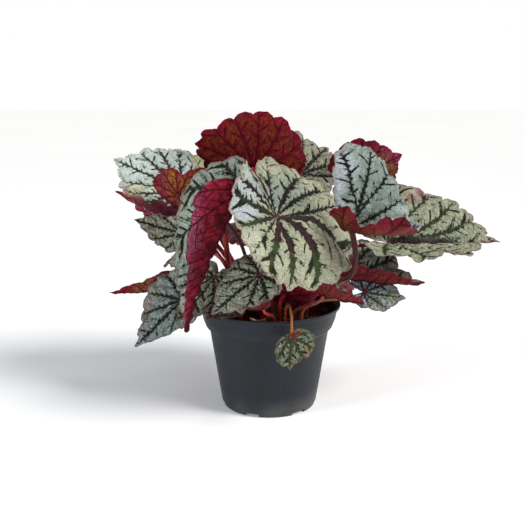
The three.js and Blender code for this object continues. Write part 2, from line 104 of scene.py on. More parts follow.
# Soil
SOIL_EDGE = 78.0
SOIL_CROWN = 80.0
SOIL_GAP = 0.35
SOIL_FLOOR = FLOOR_TOP + 0.4
HOLE_FLOOR = 68.6
SOIL_SEED = 71
BED_ROWS = 46
BED_SIDES = 150
BED_LUMPS = (0.7, 0.6, 0.35)
BED_DROP = 0.6
CRUMB_COUNT = 950
CRUMB_SPREAD = 0.985
CRUMB_SMALLEST = 0.3
CRUMB_GROWTH = 2.1
CRUMB_LIFT = 0.25
CRUMB_SHADES = (0.1, 0.2, 0.3, 0.5, 0.9)
FIBRE_COUNT = 420
FIBRE_SPREAD = 0.95
FIBRE_LENGTHS = (3, 15)
FIBRE_BENDS = (-0.9, 0.9)
FIBRE_RISES = (-0.2, 2.2)
FIBRE_RADII = (0.12, 0.34)
FIBRE_LIFT = 0.15
FIBRE_INSET = 0.6
FIBRE_STEPS = 6
FIBRE_SHORTEST_STEP = 0.05
FIBRE_TAPER = np.array([0.4, 0.9, 1.0, 1.0, 1.0, 0.8, 0.3])
FIBRE_SIDES = 5
FIBRE_SHADES = (0.55, 0.7, 0.8, 0.95)

# Blades: thickness in the middle, at the rim and in the source, then how the outline closes towards the
# stalk, how deep the teeth are, and how finely a blade is divided
BLADE = 0.7
RIM_BLADE = 0.4
CAD_BLADE = 0.9
LOBE_GAP = 166.0
CLOSED_GAP = 172.0
NOTCH_SHARE = 0.35
CLOSE_ANGLE = 28.0
CRENATION = 0.035
FOLD_POWER = 1.4
RIPPLE_POWER = 2.5
BEND_STEPS = 8
OUTLINE_SAMPLES = 1440
LARGE_TEETH = 16
RING_STEP = 1.6
SMALL_RING_STEP = 1.3
RING_POWER = 0.92
FEWEST_ROWS = 8
TOOTH_COLUMNS = 8
LARGE_TOOTH_COLUMNS = 12

# Margin: how round the teeth are, the finer second set, uneven steps outwards and up, how many of these
# there are for each half tooth, the even waves, and how suddenly each sets in towards the margin
SCALLOP_POWER = 0.7
FINE_TEETH = 0.3
FINE_PITCH = 1.5
RIM_JAG = 0.55
RIM_CRIMP = 0.75
RIM_KNOTS = 3
RUFFLE = 0.7
TOOTH_POWER = 3
JAG_POWER = 14
CRIMP_POWER = 9
RUFFLE_POWER = 5

# Puckers of the panels: what is added to the leaf's seed, their size and their height
PUCKERS = ((0, 10.0, 0.45), (500, 4.5, 0.2))

# Veins: how side veins slant, how far they are apart for their step, how wide the furrows of main and side
# veins are, where a bent main vein's angles are given, and how far apart the barbs of dark bands are
SIDE_SLANT = 0.95
SIDE_SHARE = 0.72
MAIN_FURROW = 2.2
SIDE_FURROW = 1.7
VEIN_KNOTS = (0.1, 0.4, 0.7, 1.0)
BARB_STEP = 4.6

# How high the panels stand and how deep side veins lie for a main vein's depth of 1, and how far from the
# margin and from the stalk the relief, the puckers and the full thickness are reached
PANEL_RISE = 0.35
SIDE_DEPTH = 0.7
RELIEF_INSET = 5.0
RELIEF_START = 6.0
PUCKER_START = 8.0
THICK_INSET = 6.0

# Dark bands: the share of the way where they have their full width, how much and how late they narrow, and
# over which share they end
NECK_END = 0.35
BAND_NARROWING = 0.62
BAND_POWER = 1.3
BAND_FADE = 0.12

# Extents at which relief, vein width and the underside's cells have their full size, and how much wider
# veins may be on a larger blade
RELIEF_EXTENT = 45.0
DETAIL_EXTENT = 55.0
CELL_EXTENT = 50.0
LARGEST_DETAIL = 1.25

# Patterns are in cm, and a blade's pattern is moved by this many mm for each step of the leaf's seed
PATTERN_UNIT = 10.0
PATTERN_SHIFT = 37.0

# A tint with an amount over 1 covers the veins too, up to a steep edge where its weight is this low
COVER_EDGE = 0.3
COVER_STEEPNESS = 6.0
SOFT_STEEPNESS = 1.6

# Stalks
STALK_SAMPLES = 44
STALK_SIDES = 14
FIRST_SIDE = (0.31, 0.95, 0.11)
STALK_TAPER = 0.10
STALK_FLARE = 0.16
STALK_SWELL = 0.05
STALK_END = 1.15
HAIRS_PER_MM = 2.2
HAIR_LENGTHS = (0.8, 2.0)
HAIR_LEANS = (-0.4, 0.7)
HAIR_RADIUS = 0.09
HAIR_CORNERS = (0.0, 2.1, 4.2)
HAIR_SHADE = 0.8
STALK_SEED_SHIFT = 900

# What a leaf has unless its row says otherwise. A pair is for the blade's left and right, seen from above
# with the tip ahead, and angles are in degrees. First comes the form of the source's blade and stalk, then
# the finer outline, the veins, the patches of colour and the stalk's colours. A trim is an angle, a spread
# and a share of the radius. A roll is an angle, a spread, the share where it starts and how far it lifts.
# A tint is a place on the blade in mm across and ahead, a reach, a colour and an amount. Some tints are the
# leaf's own colour and some are painted highlight, painted sheen or painted shade.
LEAF_DEFAULTS = dict(
    front=0.8, fold=(0, 0), lobe=(0, 0), curl=(0, 0), droop=0, rear=0, wave=1.6, waves=6,
    rise=0.4, reach=0.35, lean=68, seat=0.4,
    gap=LOBE_GAP, notch=NOTCH_SHARE, dents=(0.04, 0.04), trims=(), rolls=(),
    veins=(-158, -112, -70, -34, 0, 32, 66, 108, 156), wide_veins=1.0, vein_ends=0.97, wine=0.6,
    sweep=0.12, band=1.5, busy=0.75, neck=0.6,
    tints=(), under_tints=(), slot="silver", stalk_tones=("#a8261f", "#b22c2a", "#c8766a"),
)
FIRST_SEED = 11
LEAVES = {}


def add_leaf(name, at, turn, length, wide, back, teeth, base, stalk, face, under, branch, **more):
    """Note a leaf: where its stalk meets the blade, how the blade is turned, its length, widths, lobes
    behind and teeth, the stalk's foot and radius, the looks of both sides, and the step of side veins."""
    LEAVES[name] = {
        **LEAF_DEFAULTS, "at": at, "turn": turn, "length": length, "wide": wide, "back": back, "teeth": teeth,
        "base": base, "stalk": stalk, "face": face, "under": under, "branch": branch,
        "seed": FIRST_SEED + len(LEAVES), **more,
    }


add_leaf(
    "top_red", (-13, 26, 198), (179, 26, -55), 52, (52, 38), (46, 34), 19, (-6, 12), 2.3,
    "steel", "gold", 12, front=0.88, lobe=(-10, 0), curl=(30, 20), droop=-10, rear=-15, slot="burgundy",
    stalk_tones=("#8e2023", "#a8282c", "#c07a70"), dents=(-0.1, -0.06),
    veins=(-152, -126, -100, -76, -52, -26, 0, 32, 66, 108, 156),
)
add_leaf(
    "front_silver", (5, -66, 171), (-60, -50, 20), 60, (81, 42), (67, 46), 21, (1, -19), 2.5,
    "cream", "magenta", 15, front=0.92, fold=(15, 8), lobe=(-4, 27), curl=(-24, -40), droop=-39, rear=-28,
    rise=0.2, reach=0.1, lean=72, seat=0.2, slot="cream", stalk_tones=("#9b4a46", "#8d2c38", "#d0a08c"),
    band=3.0, busy=0.45, neck=0.3, gap=178, notch=0.66, trims=((-2, 10, -0.07), (-20, 12, 0.03)),
    wide_veins=(0.35, 0.6, 0.5, 0.45, 0.8, 1.3, 1.1, 0.9, 0.3, 0.6, 0.75, 0.6, 0.45),
    vein_ends=(0.8, 0.9, 0.9, 0.9, 0.75, 0.98, 0.98, 0.95, 0.5, 0.95, 0.97, 0.9, 0.85),
    wine=(-1, -1, -1, -0.8, 0.9, 1, 1, 1, 1, 1, -0.6, -1, -1),
    veins=(
        -168, -137, -119, (-97, -97, -100, -102), (-88, -86, -71, -62), (-70, -53, -36, -26),
        (0, -11, -5, 0), (22, 25, 28, 27), 50, (74, 73, 74, 76), (100, 104, 110, 114), 134, 158,
    ),
    tints=(
        # Painted light on this blade: the first two tints are a painted bluish-white highlight on the lobe to
        # the left in view, the next three paint the raised back lobes greyer and darker as painted shade, and
        # the tint at (-46, 22) is a painted highlight on the lit front right.
        (34, -8, 15, "#aeb8c0", 0.9), (27, -24, 9, "#aeb8ba", 0.7), (12, -26, 13, "#84948a", 0.85),
        (-12, -20, 15, "#7e8e84", 0.85), (-30, -24, 15, "#879384", 0.8), (-55, -12, 16, "#a09c86", 0.6),
        (-46, 22, 14, "#cbbfa6", 0.6), (33, 24, 9, "#c3c4ae", 0.6), (15, 29, 5, "#5c6b45", 0.5),
        (-26, 43, 5, "#5c6b45", 0.5),
    ),
)
add_leaf(
    "folded_magenta", (-20, -62, 191), (172, -62, -3), 118, (33, 57), (22, 25), 21, (-7, -13), 2.5,
    "silver", "magenta", 9, front=0.7, fold=(52, 62), lobe=(10, 5), curl=(22, 5), droop=-12, rise=0.38,
    reach=0.12, lean=62, seat=-0.5, slot="burgundy", stalk_tones=("#b3261f", "#b22424", "#cf7868"),
    busy=0.95, dents=(0.07, 0.1),
    trims=((105, 38, -0.38), (-122, 34, -0.72), (-162, 16, -0.4), (-34, 20, -0.12), (18, 10, 0.1)),
    rolls=((-60, 40, 0.72, -4.0),),
    under_tints=(
        # Painted light on the underside: the first four tints are a painted violet-pink sheen along the lit
        # left margin, the last three a painted shade along the fold's crease.
        (-20, 52, 8, "#9a5572", 0.65), (-31, 22, 9, "#8e4464", 0.5), (-26, 38, 8, "#a25c7c", 0.7),
        (-13, 72, 6, "#8e4a68", 0.6), (-2, 28, 7, "#30070f", 0.8), (-2, 52, 7, "#30070f", 0.8),
        (-1, 74, 6, "#3a0a14", 0.7),
    ),
)
add_leaf(
    "left_silver", (-74, 6, 146), (178, 14, 47), 39, (20, 24), (16, 18), 15, (-27, 2), 1.6,
    "silver", "red", 12, front=0.75, droop=10, rise=0.75, reach=0.4, lean=60, band=1.3, busy=0.4,
    tints=((1, 27, 12, "#a9ab8d", 0.7), (-10, 14, 10, "#a3a788", 0.7)),
)
add_leaf(
    "upper_left", (-73, 4, 183), (168, 22, 46), 60, (44, 42), (20, 22), 19, (-34, 16), 2.2,
    "bright", "red", 13, front=0.85, curl=(50, 0), rise=1.25, reach=0.1, lean=69, band=1.15, busy=0.45,
    trims=((-85, 30, -0.15), (102, 24, -0.5), (55, 25, -0.08)),
    veins=(-150, -125, -102, -80, -60, -40, -20, 0, 20, 40, 62, 88, 118, 150),
    tints=(
        (-20, 32, 8, "#c9c9a2", 0.9), (-11, 17, 6, "#c9c9a2", 0.9), (-36, 26, 11, "#5b1527", 1.3),
        (-38, 6, 14, "#4e1222", 1.3), (-30, -8, 13, "#4e1222", 1.3), (-25, 7, 7, "#5b1527", 1.2),
        (-28, 40, 6, "#7a2034", 1.0), (4, 42, 13, "#c7d2cd", 0.7),
    ),
)
add_leaf(
    "under_left", (-77, 25, 165), (202, 5, -28), 54, (26, 28), (18, 18), 15, (-23, -6), 1.8,
    "silver", "magenta", 9, front=0.75, droop=30, reach=0.2, slot="burgundy",
)
add_leaf(
    "curled_gold", (-72, -23, 182), (165, 50, -70), 32, (26, 17), (20, 12), 13, (-14, -12), 1.4,
    "silver", "olive", 8, front=0.65, fold=(15, -5), droop=30, rise=0.98, reach=0.23, lean=70,
    slot="burgundy", stalk_tones=("#54201a", "#5c2018", "#7c4030"), dents=(0, 0),
    trims=((0, 22, -0.22), (28, 18, 0.35), (100, 30, -0.3), (-50, 22, -0.3), (-95, 22, 0.25)),
    under_tints=((14, 9, 6, "#84203c", 0.9), (6, 18, 6, "#84203c", 0.8), (14, -4, 6, "#4e1220", 0.8)),
)
add_leaf(
    "pale_green", (-54, 47, 182), (180, 42, 39), 38, (26, 34), (18, 18), 13, (-19, 24), 1.7,
    "pale", "gold", 8, curl=(0, -35), droop=10, rise=0.3, reach=0.45, slot="cream", band=0.7,
)
add_leaf(
    "upper_right", (28, 39, 192), (49, 34, -25), 46, (46, 30), (28, 26), 17, (4, 12), 2.2,
    "steel", "red", 11, front=0.85, fold=(22, 0), droop=-25, rise=0.7, reach=0.2, band=1.6,
    tints=((0, 10, 50, "#958b6c", 0.7),),
)
add_leaf(
    "cup", (62, -51, 160), (-22, -1, 4), 49, (73, 32), (12, 24), 19, (2, -3), 2.2,
    "bright", "gold_brown", 17, front=0.92, fold=(82, -17), lobe=(5, 0), curl=(74, 126), droop=17, rear=-20,
    rise=0.64, reach=0.78, lean=108, stalk_tones=("#34100f", "#481512", "#5a2c26"), band=1.1, busy=0.3,
    trims=((152, 34, -0.58), (102, 22, 0.3), (60, 17, -0.25), (26, 19, 0.33)),
    rolls=((140, 38, 0.1, 16.0), (-165, 25, 0.2, 8.0), (30, 28, 0.2, -7.0)), wine=-0.6,
    wide_veins=(0.5, 0.3, 0.5, 1.2, 0.8, 0.9, 0.7, 1, 1, 1, 1),
    veins=(
        -150, -125, (-70, -92, -93, -94), (-74, -73, -72, -71), (-70, -60, -53, -50), -28, 0, 30, 60, 95,
        150,
    ),
    tints=(
        # The first three tints are a painted bluish-white highlight along the cup's lit left edge.
        (-52, -8, 12, "#eef4fa", 0.9), (-34, -13, 9, "#e6eef4", 0.9), (-16, -11, 7, "#dde6ec", 0.9),
        (-44, 14, 14, "#aebbae", 0.7), (-34, -16, 5, "#7d2c26", 0.9), (-46, -12, 4, "#8d4a44", 0.7),
        (-30, 20, 16, "#8e9c8d", 0.6),
    ),
    under_tints=(
        (16, -4, 9, "#42160f", 0.85), (24, -2, 6, "#75481c", 0.75), (12, 8, 8, "#4a1114", 0.85),
        (14, 26, 8, "#7a4118", 0.75), (6, 36, 7, "#5a121b", 0.85), (24, 30, 6, "#83142c", 0.8),
        (8, 44, 6, "#7e142b", 0.8), (6, 20, 7, "#3e0e12", 0.85), (20, 14, 7, "#5e2416", 0.7),
    ),
)
add_leaf(
    "right_red", (80, 34, 192), (-10, 28, 72), 36, (26, 32), (24, 28), 15, (18, 10), 1.8,
    "silver", "gold", 8, front=0.85, curl=(0, -8), slot="burgundy",
    under_tints=(
        (-16, 10, 9, "#87702c", 0.8), (-6, 24, 6, "#8b7a48", 0.6), (-8, 34, 6, "#9c2148", 0.9),
        (-22, 24, 5, "#9c2148", 0.8), (24, 20, 9, "#8f2044", 0.8), (11, 29, 8, "#a0305a", 0.8),
        (4, 19, 7, "#8a6a34", 0.8), (1, 31, 6, "#a2466a", 0.7),
    ),
)
add_leaf(
    "far_right", (99, -2, 139), (1, -1, -4), 96, (54, 50), (40, 34), 23, (31, -2), 2.5,
    "cream", "magenta", 13, fold=(54, 5), lobe=(0, 8), curl=(-10, -8), droop=4, wave=2.6, waves=9, seat=0.2,
    slot="cream", band=1.9, busy=0.5, dents=(0.0, 0.04), trims=((0, 9, -0.07),),
    wide_veins=(0.5, 0.6, 0.8, 0.8, 0.8, 0.7, 2.0, 0.6, 0.6, 0.7, 0.5),
    wine=(0, 0, 0, 0, 0.1, 0.3, 1, 0.5, 0.3, 0, 0),
    veins=(
        -158, -120, (-88, -86, -80, -76), (-58, -56, -52, -48), (-24, -24, -27, -33), (-9, -10, -12, -17),
        (3, 3, 3, 2), (40, 36, 32, 28), (66, 66, 64, 62), 108, 156,
    ),
    tints=(
        (-48, 33, 6, "#84243c", 0.9), (-41, 22, 5, "#84243c", 0.9), (-34, 11, 5, "#7c3a40", 0.8),
        (-30, 22, 9, "#98a088", 0.7), (-14, 34, 9, "#98a088", 0.7), (-10, 60, 9, "#98a088", 0.6),
        (-1, 5, 4.5, "#251413", 1.2), (-2, 12, 5, "#251413", 1.2), (-2, 19, 5, "#251413", 1.2),
        (-2, 26, 5, "#251413", 1.2), (-2, 33, 4.5, "#251413", 1.2), (-2, 40, 4.2, "#251413", 1.2),
        (-2, 47, 3.6, "#251413", 1.2), (-2, 53, 3, "#251413", 1.2),
    ),
)
add_leaf(
    "folded_right", (61, -22, 115), (-17, -8, -4), 62, (40, 22), (18, 14), 15, (26, -12), 2,
    "silver", "brown", 9, front=0.75, fold=(42, 52), curl=(-10, 0), droop=18, seat=-0.1, slot="burgundy",
    trims=((122, 36, -0.4), (72, 18, 0.15)),
)
add_leaf(
    "small_right", (76, -30, 104), (-14, -4, -42), 32, (18, 19), (15, 16), 13, (26, -24), 1.3,
    "blue", "red", 9, front=0.88, lobe=(10, 0), droop=-5, stalk_tones=("#a8623a", "#a06a3c", "#d8b084"),
    band=1.0, busy=0.3, dents=(0, 0), trims=((115, 40, -0.35), (60, 20, -0.1)),
    tints=(
        (0, 22, 7, "#77814a", 0.85), (-4, 13, 5, "#7b8a72", 0.6), (8, 10, 6, "#7c8450", 0.7),
        (-1, 1, 3, "#a8552e", 0.9),
    ),
)
add_leaf(
    "young_right", (42, -52, 107), (-10, -10, 0), 31, (12, 14), (10, 10), 11, (18, -32), 1.3,
    "silver", "brown", 7, front=0.7, fold=(60, 60), droop=8, seat=0.2, slot="burgundy",
    stalk_tones=("#b06a3c", "#8a3a34", "#d8b084"),
)
add_leaf(
    "hanging", (16, -71, 79), (-97, -76, 0), 29, (18, 14), (8, 3), 13, (12, -44), 1,
    "olive", "red", 6, front=0.88, rise=1.2, reach=1, lean=40,
    stalk_tones=("#8f3322", "#a8662c", "#c89868"), band=1.3, dents=(0, 0),
    trims=((95, 30, -0.5), (0, 30, -0.2), (-30, 18, -0.12), (20, 18, 0.12)),
    tints=(
        (-2, -1, 2.6, "#6e1f1a", 1.2), (-5, -3, 2.2, "#6e1f1a", 1.2), (-13, 10, 4, "#8a5a2c", 0.5),
        (-11, 17, 4, "#8e4a26", 0.8), (-3, 23, 4, "#8e4a26", 0.7), (5, 12, 9, "#5e6656", 0.6),
    ),
)
add_leaf(
    "lower_left", (-72, -17, 94), (203, -41, 29), 52, (24, 32), (16, 25), 17, (-38, -12), 1.8,
    "steel", "red", 14, front=0.72, fold=(4, 0), curl=(0, 15), reach=0.5, busy=0.25,
    tints=(
        (-4, 26, 30, "#8b9890", 0.7), (22, 25, 6, "#8f5a3c", 0.8), (13, 36, 6, "#95472f", 0.8),
        (24, 12, 5, "#a08a58", 0.7),
    ),
)
add_leaf(
    "thin_left", (-72, 16, 100), (181, -13, -45), 65, (16, 19), (14, 14), 15, (-38, 8), 1.6,
    "silver", "gold", 9, front=0.7, fold=(25, 20), droop=16, slot="burgundy", dents=(-0.1, 0.1),
    under_tints=(
        (-1, 38, 8, "#8f6436", 0.7), (-7, 28, 7, "#93663a", 0.75), (-9, 19, 6, "#8a5a34", 0.7),
    ),
)
add_leaf(
    "cream_left", (-45, -19, 114), (224, -42, 22), 52, (22, 20), (14, 16), 15, (-39, -20), 1.7,
    "cream", "red", 9, front=0.75, fold=(0, -8), curl=(0, -14), droop=25, rise=0.1, reach=0.1, lean=56,
    slot="cream", band=1.2,
)
add_leaf(
    "front_left", (-8, -59, 125), (205, -32, 30), 46, (22, 24), (14, 18), 15, (-6, -30), 1.8,
    "silver", "red", 11, front=0.85, curl=(-15, 0), droop=-5, lean=60, band=1.3, busy=0.3,
    tints=(
        (-20, 18, 6, "#9c7a4c", 0.8), (-21, 4, 6, "#a3a07c", 0.8), (-14, 30, 6, "#8e5a38", 0.8),
        (-12, 16, 7, "#979c80", 0.6), (2, 20, 22, "#a6a88b", 0.7),
    ),
)
add_leaf(
    "rim_left", (-28, -47, 101), (203, -30, 20), 25, (16, 16), (8, 8), 11, (-23, -36), 1.2,
    # The dark face here is painted shade on a silver leaf low under the others.
    "dark", "brown", 8, front=0.82, droop=12, rise=1, reach=0.7, lean=78, seat=0.5,
)
add_leaf(
    "young_left", (-5, -65, 100), (185, 3, 0), 29, (9, 8), (6, 6), 11, (4, -44), 1.1,
    "pale", "brown", 7, front=0.6, fold=(60, 60), droop=15, reach=0.2, lean=76, slot="burgundy",
)
add_leaf(
    "under_front", (12, -24, 100), (-14, 2, 72), 35, (14, 11), (10, 10), 11, (8, -30), 1.5,
    # The dark face here is painted shade on a silver leaf low under the others.
    "dark", "magenta", 8, front=0.75, fold=(20, 14), droop=40, rise=0.35, slot="burgundy",
)
add_leaf(
    "back_centre", (-4, 60, 148), (92, -24, 4), 72, (42, 38), (32, 30), 19, (-3, 23), 2.4,
    "steel", "red", 12, front=0.82, fold=(-8, -8), curl=(-20, -20), droop=-25, band=1.6,
)
add_leaf(
    "back_left", (-53, 56, 134), (148, -22, 8), 64, (44, 40), (30, 26), 19, (-26, 14), 2.2,
    "cream", "gold", 12, fold=(-5, 5), curl=(-20, -10), droop=-25, rise=0.55, reach=0.25, lean=76,
    slot="cream", band=1.7,
)
add_leaf(
    "back_right", (46, 48, 142), (38, -22, -6), 66, (42, 46), (28, 28), 19, (18, 24), 2.2,
    "silver", "red", 12, fold=(5, -6), curl=(-15, -20), droop=-25, band=1.7,
)
add_leaf(
    "back_low_left", (-42, 58, 100), (146, -26, 0), 50, (30, 32), (20, 20), 15, (-29, 26), 1.8,
    "silver", "magenta", 10, droop=-20, reach=0.15, lean=48,
)
add_leaf(
    "back_low_right", (44, 42, 104), (40, -24, 0), 52, (34, 30), (22, 20), 15, (32, 26), 1.8,
    "cream", "red", 10, droop=-20, slot="cream",
)

DRY_LEAF = {
    **LEAF_DEFAULTS, "at": (-3, -40, 81.7), "turn": (245, 11, -22), "length": 27, "wide": (9, 10),
    "back": (6, 6), "front": 0.7, "fold": (10, 20), "curl": (30, -20), "droop": 30, "wave": 1.2, "teeth": 9,
    "branch": 6.0, "seed": 60,
}

# Face colours: a main vein's middle, the patches between veins, their shade, the veins near the stalk and
# further out, the margin, and how strongly green stands beside the veins
Face = namedtuple("Face", "core patch shade vein outer margin green")
FACES = {
    "cream": Face("#43282b", "#adac90", "#8b9273", "#2a181b", "#2e451b", "#9d8a7c", 0.35),
    "silver": Face("#3a332f", "#a3aa95", "#77826f", "#191715", "#1f2a16", "#88706c", 0.45),
    "steel": Face("#2c302b", "#939d90", "#67746b", "#141613", "#1b2617", "#827278", 0.45),
    "bright": Face("#2e3a26", "#c0c9c1", "#8f9c8f", "#181c15", "#25331c", "#b7b9b2", 0.35),
    "blue": Face("#5a3c5c", "#b0bccb", "#7d8c94", "#331c32", "#2f4119", "#6e4d5c", 0.35),
    "olive": Face("#4a4a22", "#6f7460", "#454f35", "#23260f", "#2b3818", "#5e5a3c", 0.7),
    "pale": Face("#7a7c48", "#a0a47b", "#7d8653", "#4e4f29", "#5f6c34", "#7e3242", 0.3),
    # dark: a silver face painted down into shade, for low leaves under the others; painted shade.
    "dark": Face("#25281c", "#4c5340", "#2d3424", "#0f110b", "#161b0c", "#5c3529", 0.6),
}

# Underside colours: the skin, the warm cells between veins, the net of veins, the margin, and how strongly
# the warm cells show. The warm cells' gold is partly painted light shining through the blade.
Under = namedtuple("Under", "skin cell net margin gold")
UNDERS = {
    "red": Under("#8b1429", "#953225", "#450815", "#a01a3a", 0.35),
    "gold": Under("#7f1020", "#86491a", "#43060f", "#90112a", 0.62),
    "gold_brown": Under("#6c0f1e", "#7c4218", "#3a060e", "#7e1530", 0.6),
    "olive": Under("#7d2a1c", "#9a7420", "#4d0a12", "#8a1a2c", 1.0),
    "magenta": Under("#95192e", "#9a2c30", "#4b0a1b", "#a23a58", 0.4),
    "brown": Under("#701f24", "#86442a", "#3d0d11", "#862836", 0.5),
}


def colour(text):
    """An sRGB colour written as #rrggbb, as the linear colour that Blender's sockets take."""
    channels = [int(text[i:i + 2], 16) / 255 for i in (1, 3, 5)]
    return tuple(c / 12.92 if c <= 0.04045 else ((c + 0.055) / 1.055) ** 2.4 for c in channels) + (1.0,)


# Meshes
def make_mesh(name, points, quads, tris, materials, quad_slots=None, tri_slots=None, fields=None):
    """A smooth-shaded mesh object from arrays, in metres, with point attributes and material indices."""
    mesh = bpy.data.meshes.new(name)
    quads = np.asarray(quads, np.int32).reshape(-1, 4)
    tris = np.asarray(tris, np.int32).reshape(-1, 3)
    corners = np.concatenate([quads.ravel(), tris.ravel()])
    sizes = np.repeat([4, 3], [len(quads), len(tris)])
    mesh.vertices.add(len(points))
    mesh.vertices.foreach_set("co", (np.asarray(points) * MM).astype(np.float32).ravel())
    mesh.loops.add(len(corners))
    mesh.loops.foreach_set("vertex_index", corners)
    mesh.polygons.add(len(sizes))
    mesh.polygons.foreach_set("loop_start", (np.cumsum(sizes) - sizes).astype(np.int32))
    if quad_slots is not None:
        slots = np.concatenate([quad_slots, tri_slots]).astype(np.int32)
        mesh.polygons.foreach_set("material_index", slots)
    for material in materials:
        mesh.materials.append(material)
    for key, values in (fields or {}).items():
        vector = values.ndim == 2
        attribute = mesh.attributes.new(key, "FLOAT_VECTOR" if vector else "FLOAT", "POINT")
        attribute.data.foreach_set("vector" if vector else "value", values.astype(np.float32).ravel())
    mesh.update(calc_edges=True)
    mesh.validate()
    mesh.shade_smooth()
    mesh.set_sharp_from_angle(angle=math.radians(SHARP_ANGLE))
    piece = bpy.data.objects.new(name, mesh)
    bpy.context.scene.collection.objects.link(piece)
    return piece


def ring_quads(rows, sides, first=0):
    """Quads between rings of points, where the first ring starts at the vertex called first."""
    row, col = np.meshgrid(np.arange(rows - 1), np.arange(sides), indexing="ij")
    here = first + row * sides + col
    following = first + row * sides + (col + 1) % sides
    return np.stack([here, following, following + sides, here + sides], -1).reshape(-1, 4)


def fan(centre, first, sides):
    """Triangles between one vertex and a ring that starts at the vertex called first."""
    col = np.arange(sides)
    return np.stack([np.full(sides, centre), first + (col + 1) % sides, first + col], -1)


def turned(faces):
    """The same faces with the other side out."""
    return np.concatenate([faces[:, :1], faces[:, :0:-1]], axis=1)


def join(parts):
    """One set of vertices, quads and triangles out of several."""
    verts, quads, tris, offset = [], [], [], 0
    for points, part_quads, part_tris in parts:
        verts.append(points)
        quads.append(part_quads + offset)
        tris.append(part_tris + offset)
        offset += len(points)
    return np.concatenate(verts), np.concatenate(quads), np.concatenate(tris)


def random_field(seed, scale, count=7):
    """A smooth field over a plane, from about -1 to 1, made of crossing waves of about one length."""
    chance = random.Random(seed)
    waves = []
    for _ in range(count):
        turn = chance.uniform(0, 2 * math.pi)
        size = 2 * math.pi / (scale * chance.uniform(0.7, 1.5))
        waves.append((math.cos(turn) * size, math.sin(turn) * size, chance.uniform(0, 2 * math.pi)))

    def field(u, v):
        return sum(np.sin(a * u + b * v + c) for a, b, c in waves) / math.sqrt(count)

    return field


# Shape of a blade
def smooth(value):
    """A smooth step from 0 to 1 while the value does the same."""
    t = np.clip(value, 0.0, 1.0)
    return t * t * (3.0 - 2.0 * t)


def sided(pair, right):
    return np.where(right, float(pair[1]), float(pair[0]))


def outline_radius(leaf, angle):
    """Distance of the smooth outline from the stalk, at angles from the midrib, positive to its right."""
    turn = np.abs(angle)
    right = angle > 0
    width, behind = sided(leaf["wide"], right), sided(leaf["back"], right)
    length = float(leaf["length"])
    reach = leaf["front"] * length
    depth = np.where(turn < math.pi / 2, reach, behind)
    radius = 1.0 / np.hypot(np.cos(turn) / depth, np.sin(turn) / width)
    touch_along = reach * reach / length
    touch_across = width * math.sqrt(1.0 - leaf["front"] ** 2)
    touch_angle = np.arctan2(touch_across, touch_along)
    tip_angle = np.arctan2(touch_across, length - touch_along)
    dent = 1.0 - sided(leaf["dents"], right) * np.sin(math.pi * np.clip(turn / touch_angle, 0, 1)) ** 2
    pointed = dent * length * np.sin(tip_angle) / np.sin(tip_angle + np.minimum(turn, touch_angle))
    radius = np.where(turn < touch_angle, pointed, radius)
    for centre, spread, amount in leaf["trims"]:
        radius = radius * (1.0 + amount * hump(angle, centre, spread))
    close = np.clip((math.radians(leaf["gap"]) - turn) / math.radians(CLOSE_ANGLE), 0.0, 1.0)
    return radius * (leaf["notch"] + (1.0 - leaf["notch"]) * np.sin(close * math.pi / 2))


def hump(angle, centre, spread):
    return np.exp(-(((np.degrees(angle) - centre) / spread) ** 2))


def margin_table(leaf):
    """Angles along the margin, and at each the count of half teeth: odd whole numbers are tooth tops."""
    limit = math.radians(leaf["gap"])
    angles = np.linspace(-limit, limit, OUTLINE_SAMPLES + 1)
    radius = outline_radius(leaf, angles)
    x, y = radius * np.sin(angles), radius * np.cos(angles)
    lengths = np.concatenate([[0.0], np.cumsum(np.hypot(np.diff(x), np.diff(y)))])
    middle, whole = lengths[OUTLINE_SAMPLES // 2], lengths[-1]
    left = leaf["teeth"] * lengths / middle
    right = leaf["teeth"] * (1.0 + (lengths - middle) / (whole - middle))
    return angles, np.where(lengths < middle, left, right)


def blade_axes(leaf):
    """Unit vectors to the blade's right, towards its tip and out of its face."""
    azimuth, pitch, roll = (math.radians(v) for v in leaf["turn"])
    ahead = np.array([math.cos(azimuth), math.sin(azimuth), 0.0])
    along = math.cos(pitch) * ahead + np.array([0.0, 0.0, math.sin(pitch)])
    level = np.array([math.sin(azimuth), -math.cos(azimuth), 0.0])
    raised = np.cross(level, along)
    right = math.cos(roll) * level + math.sin(roll) * raised
    up = math.cos(roll) * raised - math.sin(roll) * level
    return right, along, up


def bent_line(length, start, bend, full):
    """Across, rise and tilt at lengths along a line that bends more and more from its start."""
    across = np.zeros_like(length)
    rise = np.zeros_like(length)
    for i in range(BEND_STEPS):
        angle = start + bend * (length * (i + 0.5) / (BEND_STEPS * full)) ** FOLD_POWER
        across += np.cos(angle) * length / BEND_STEPS
        rise += np.sin(angle) * length / BEND_STEPS
    return across, rise, start + bend * (length / full) ** FOLD_POWER


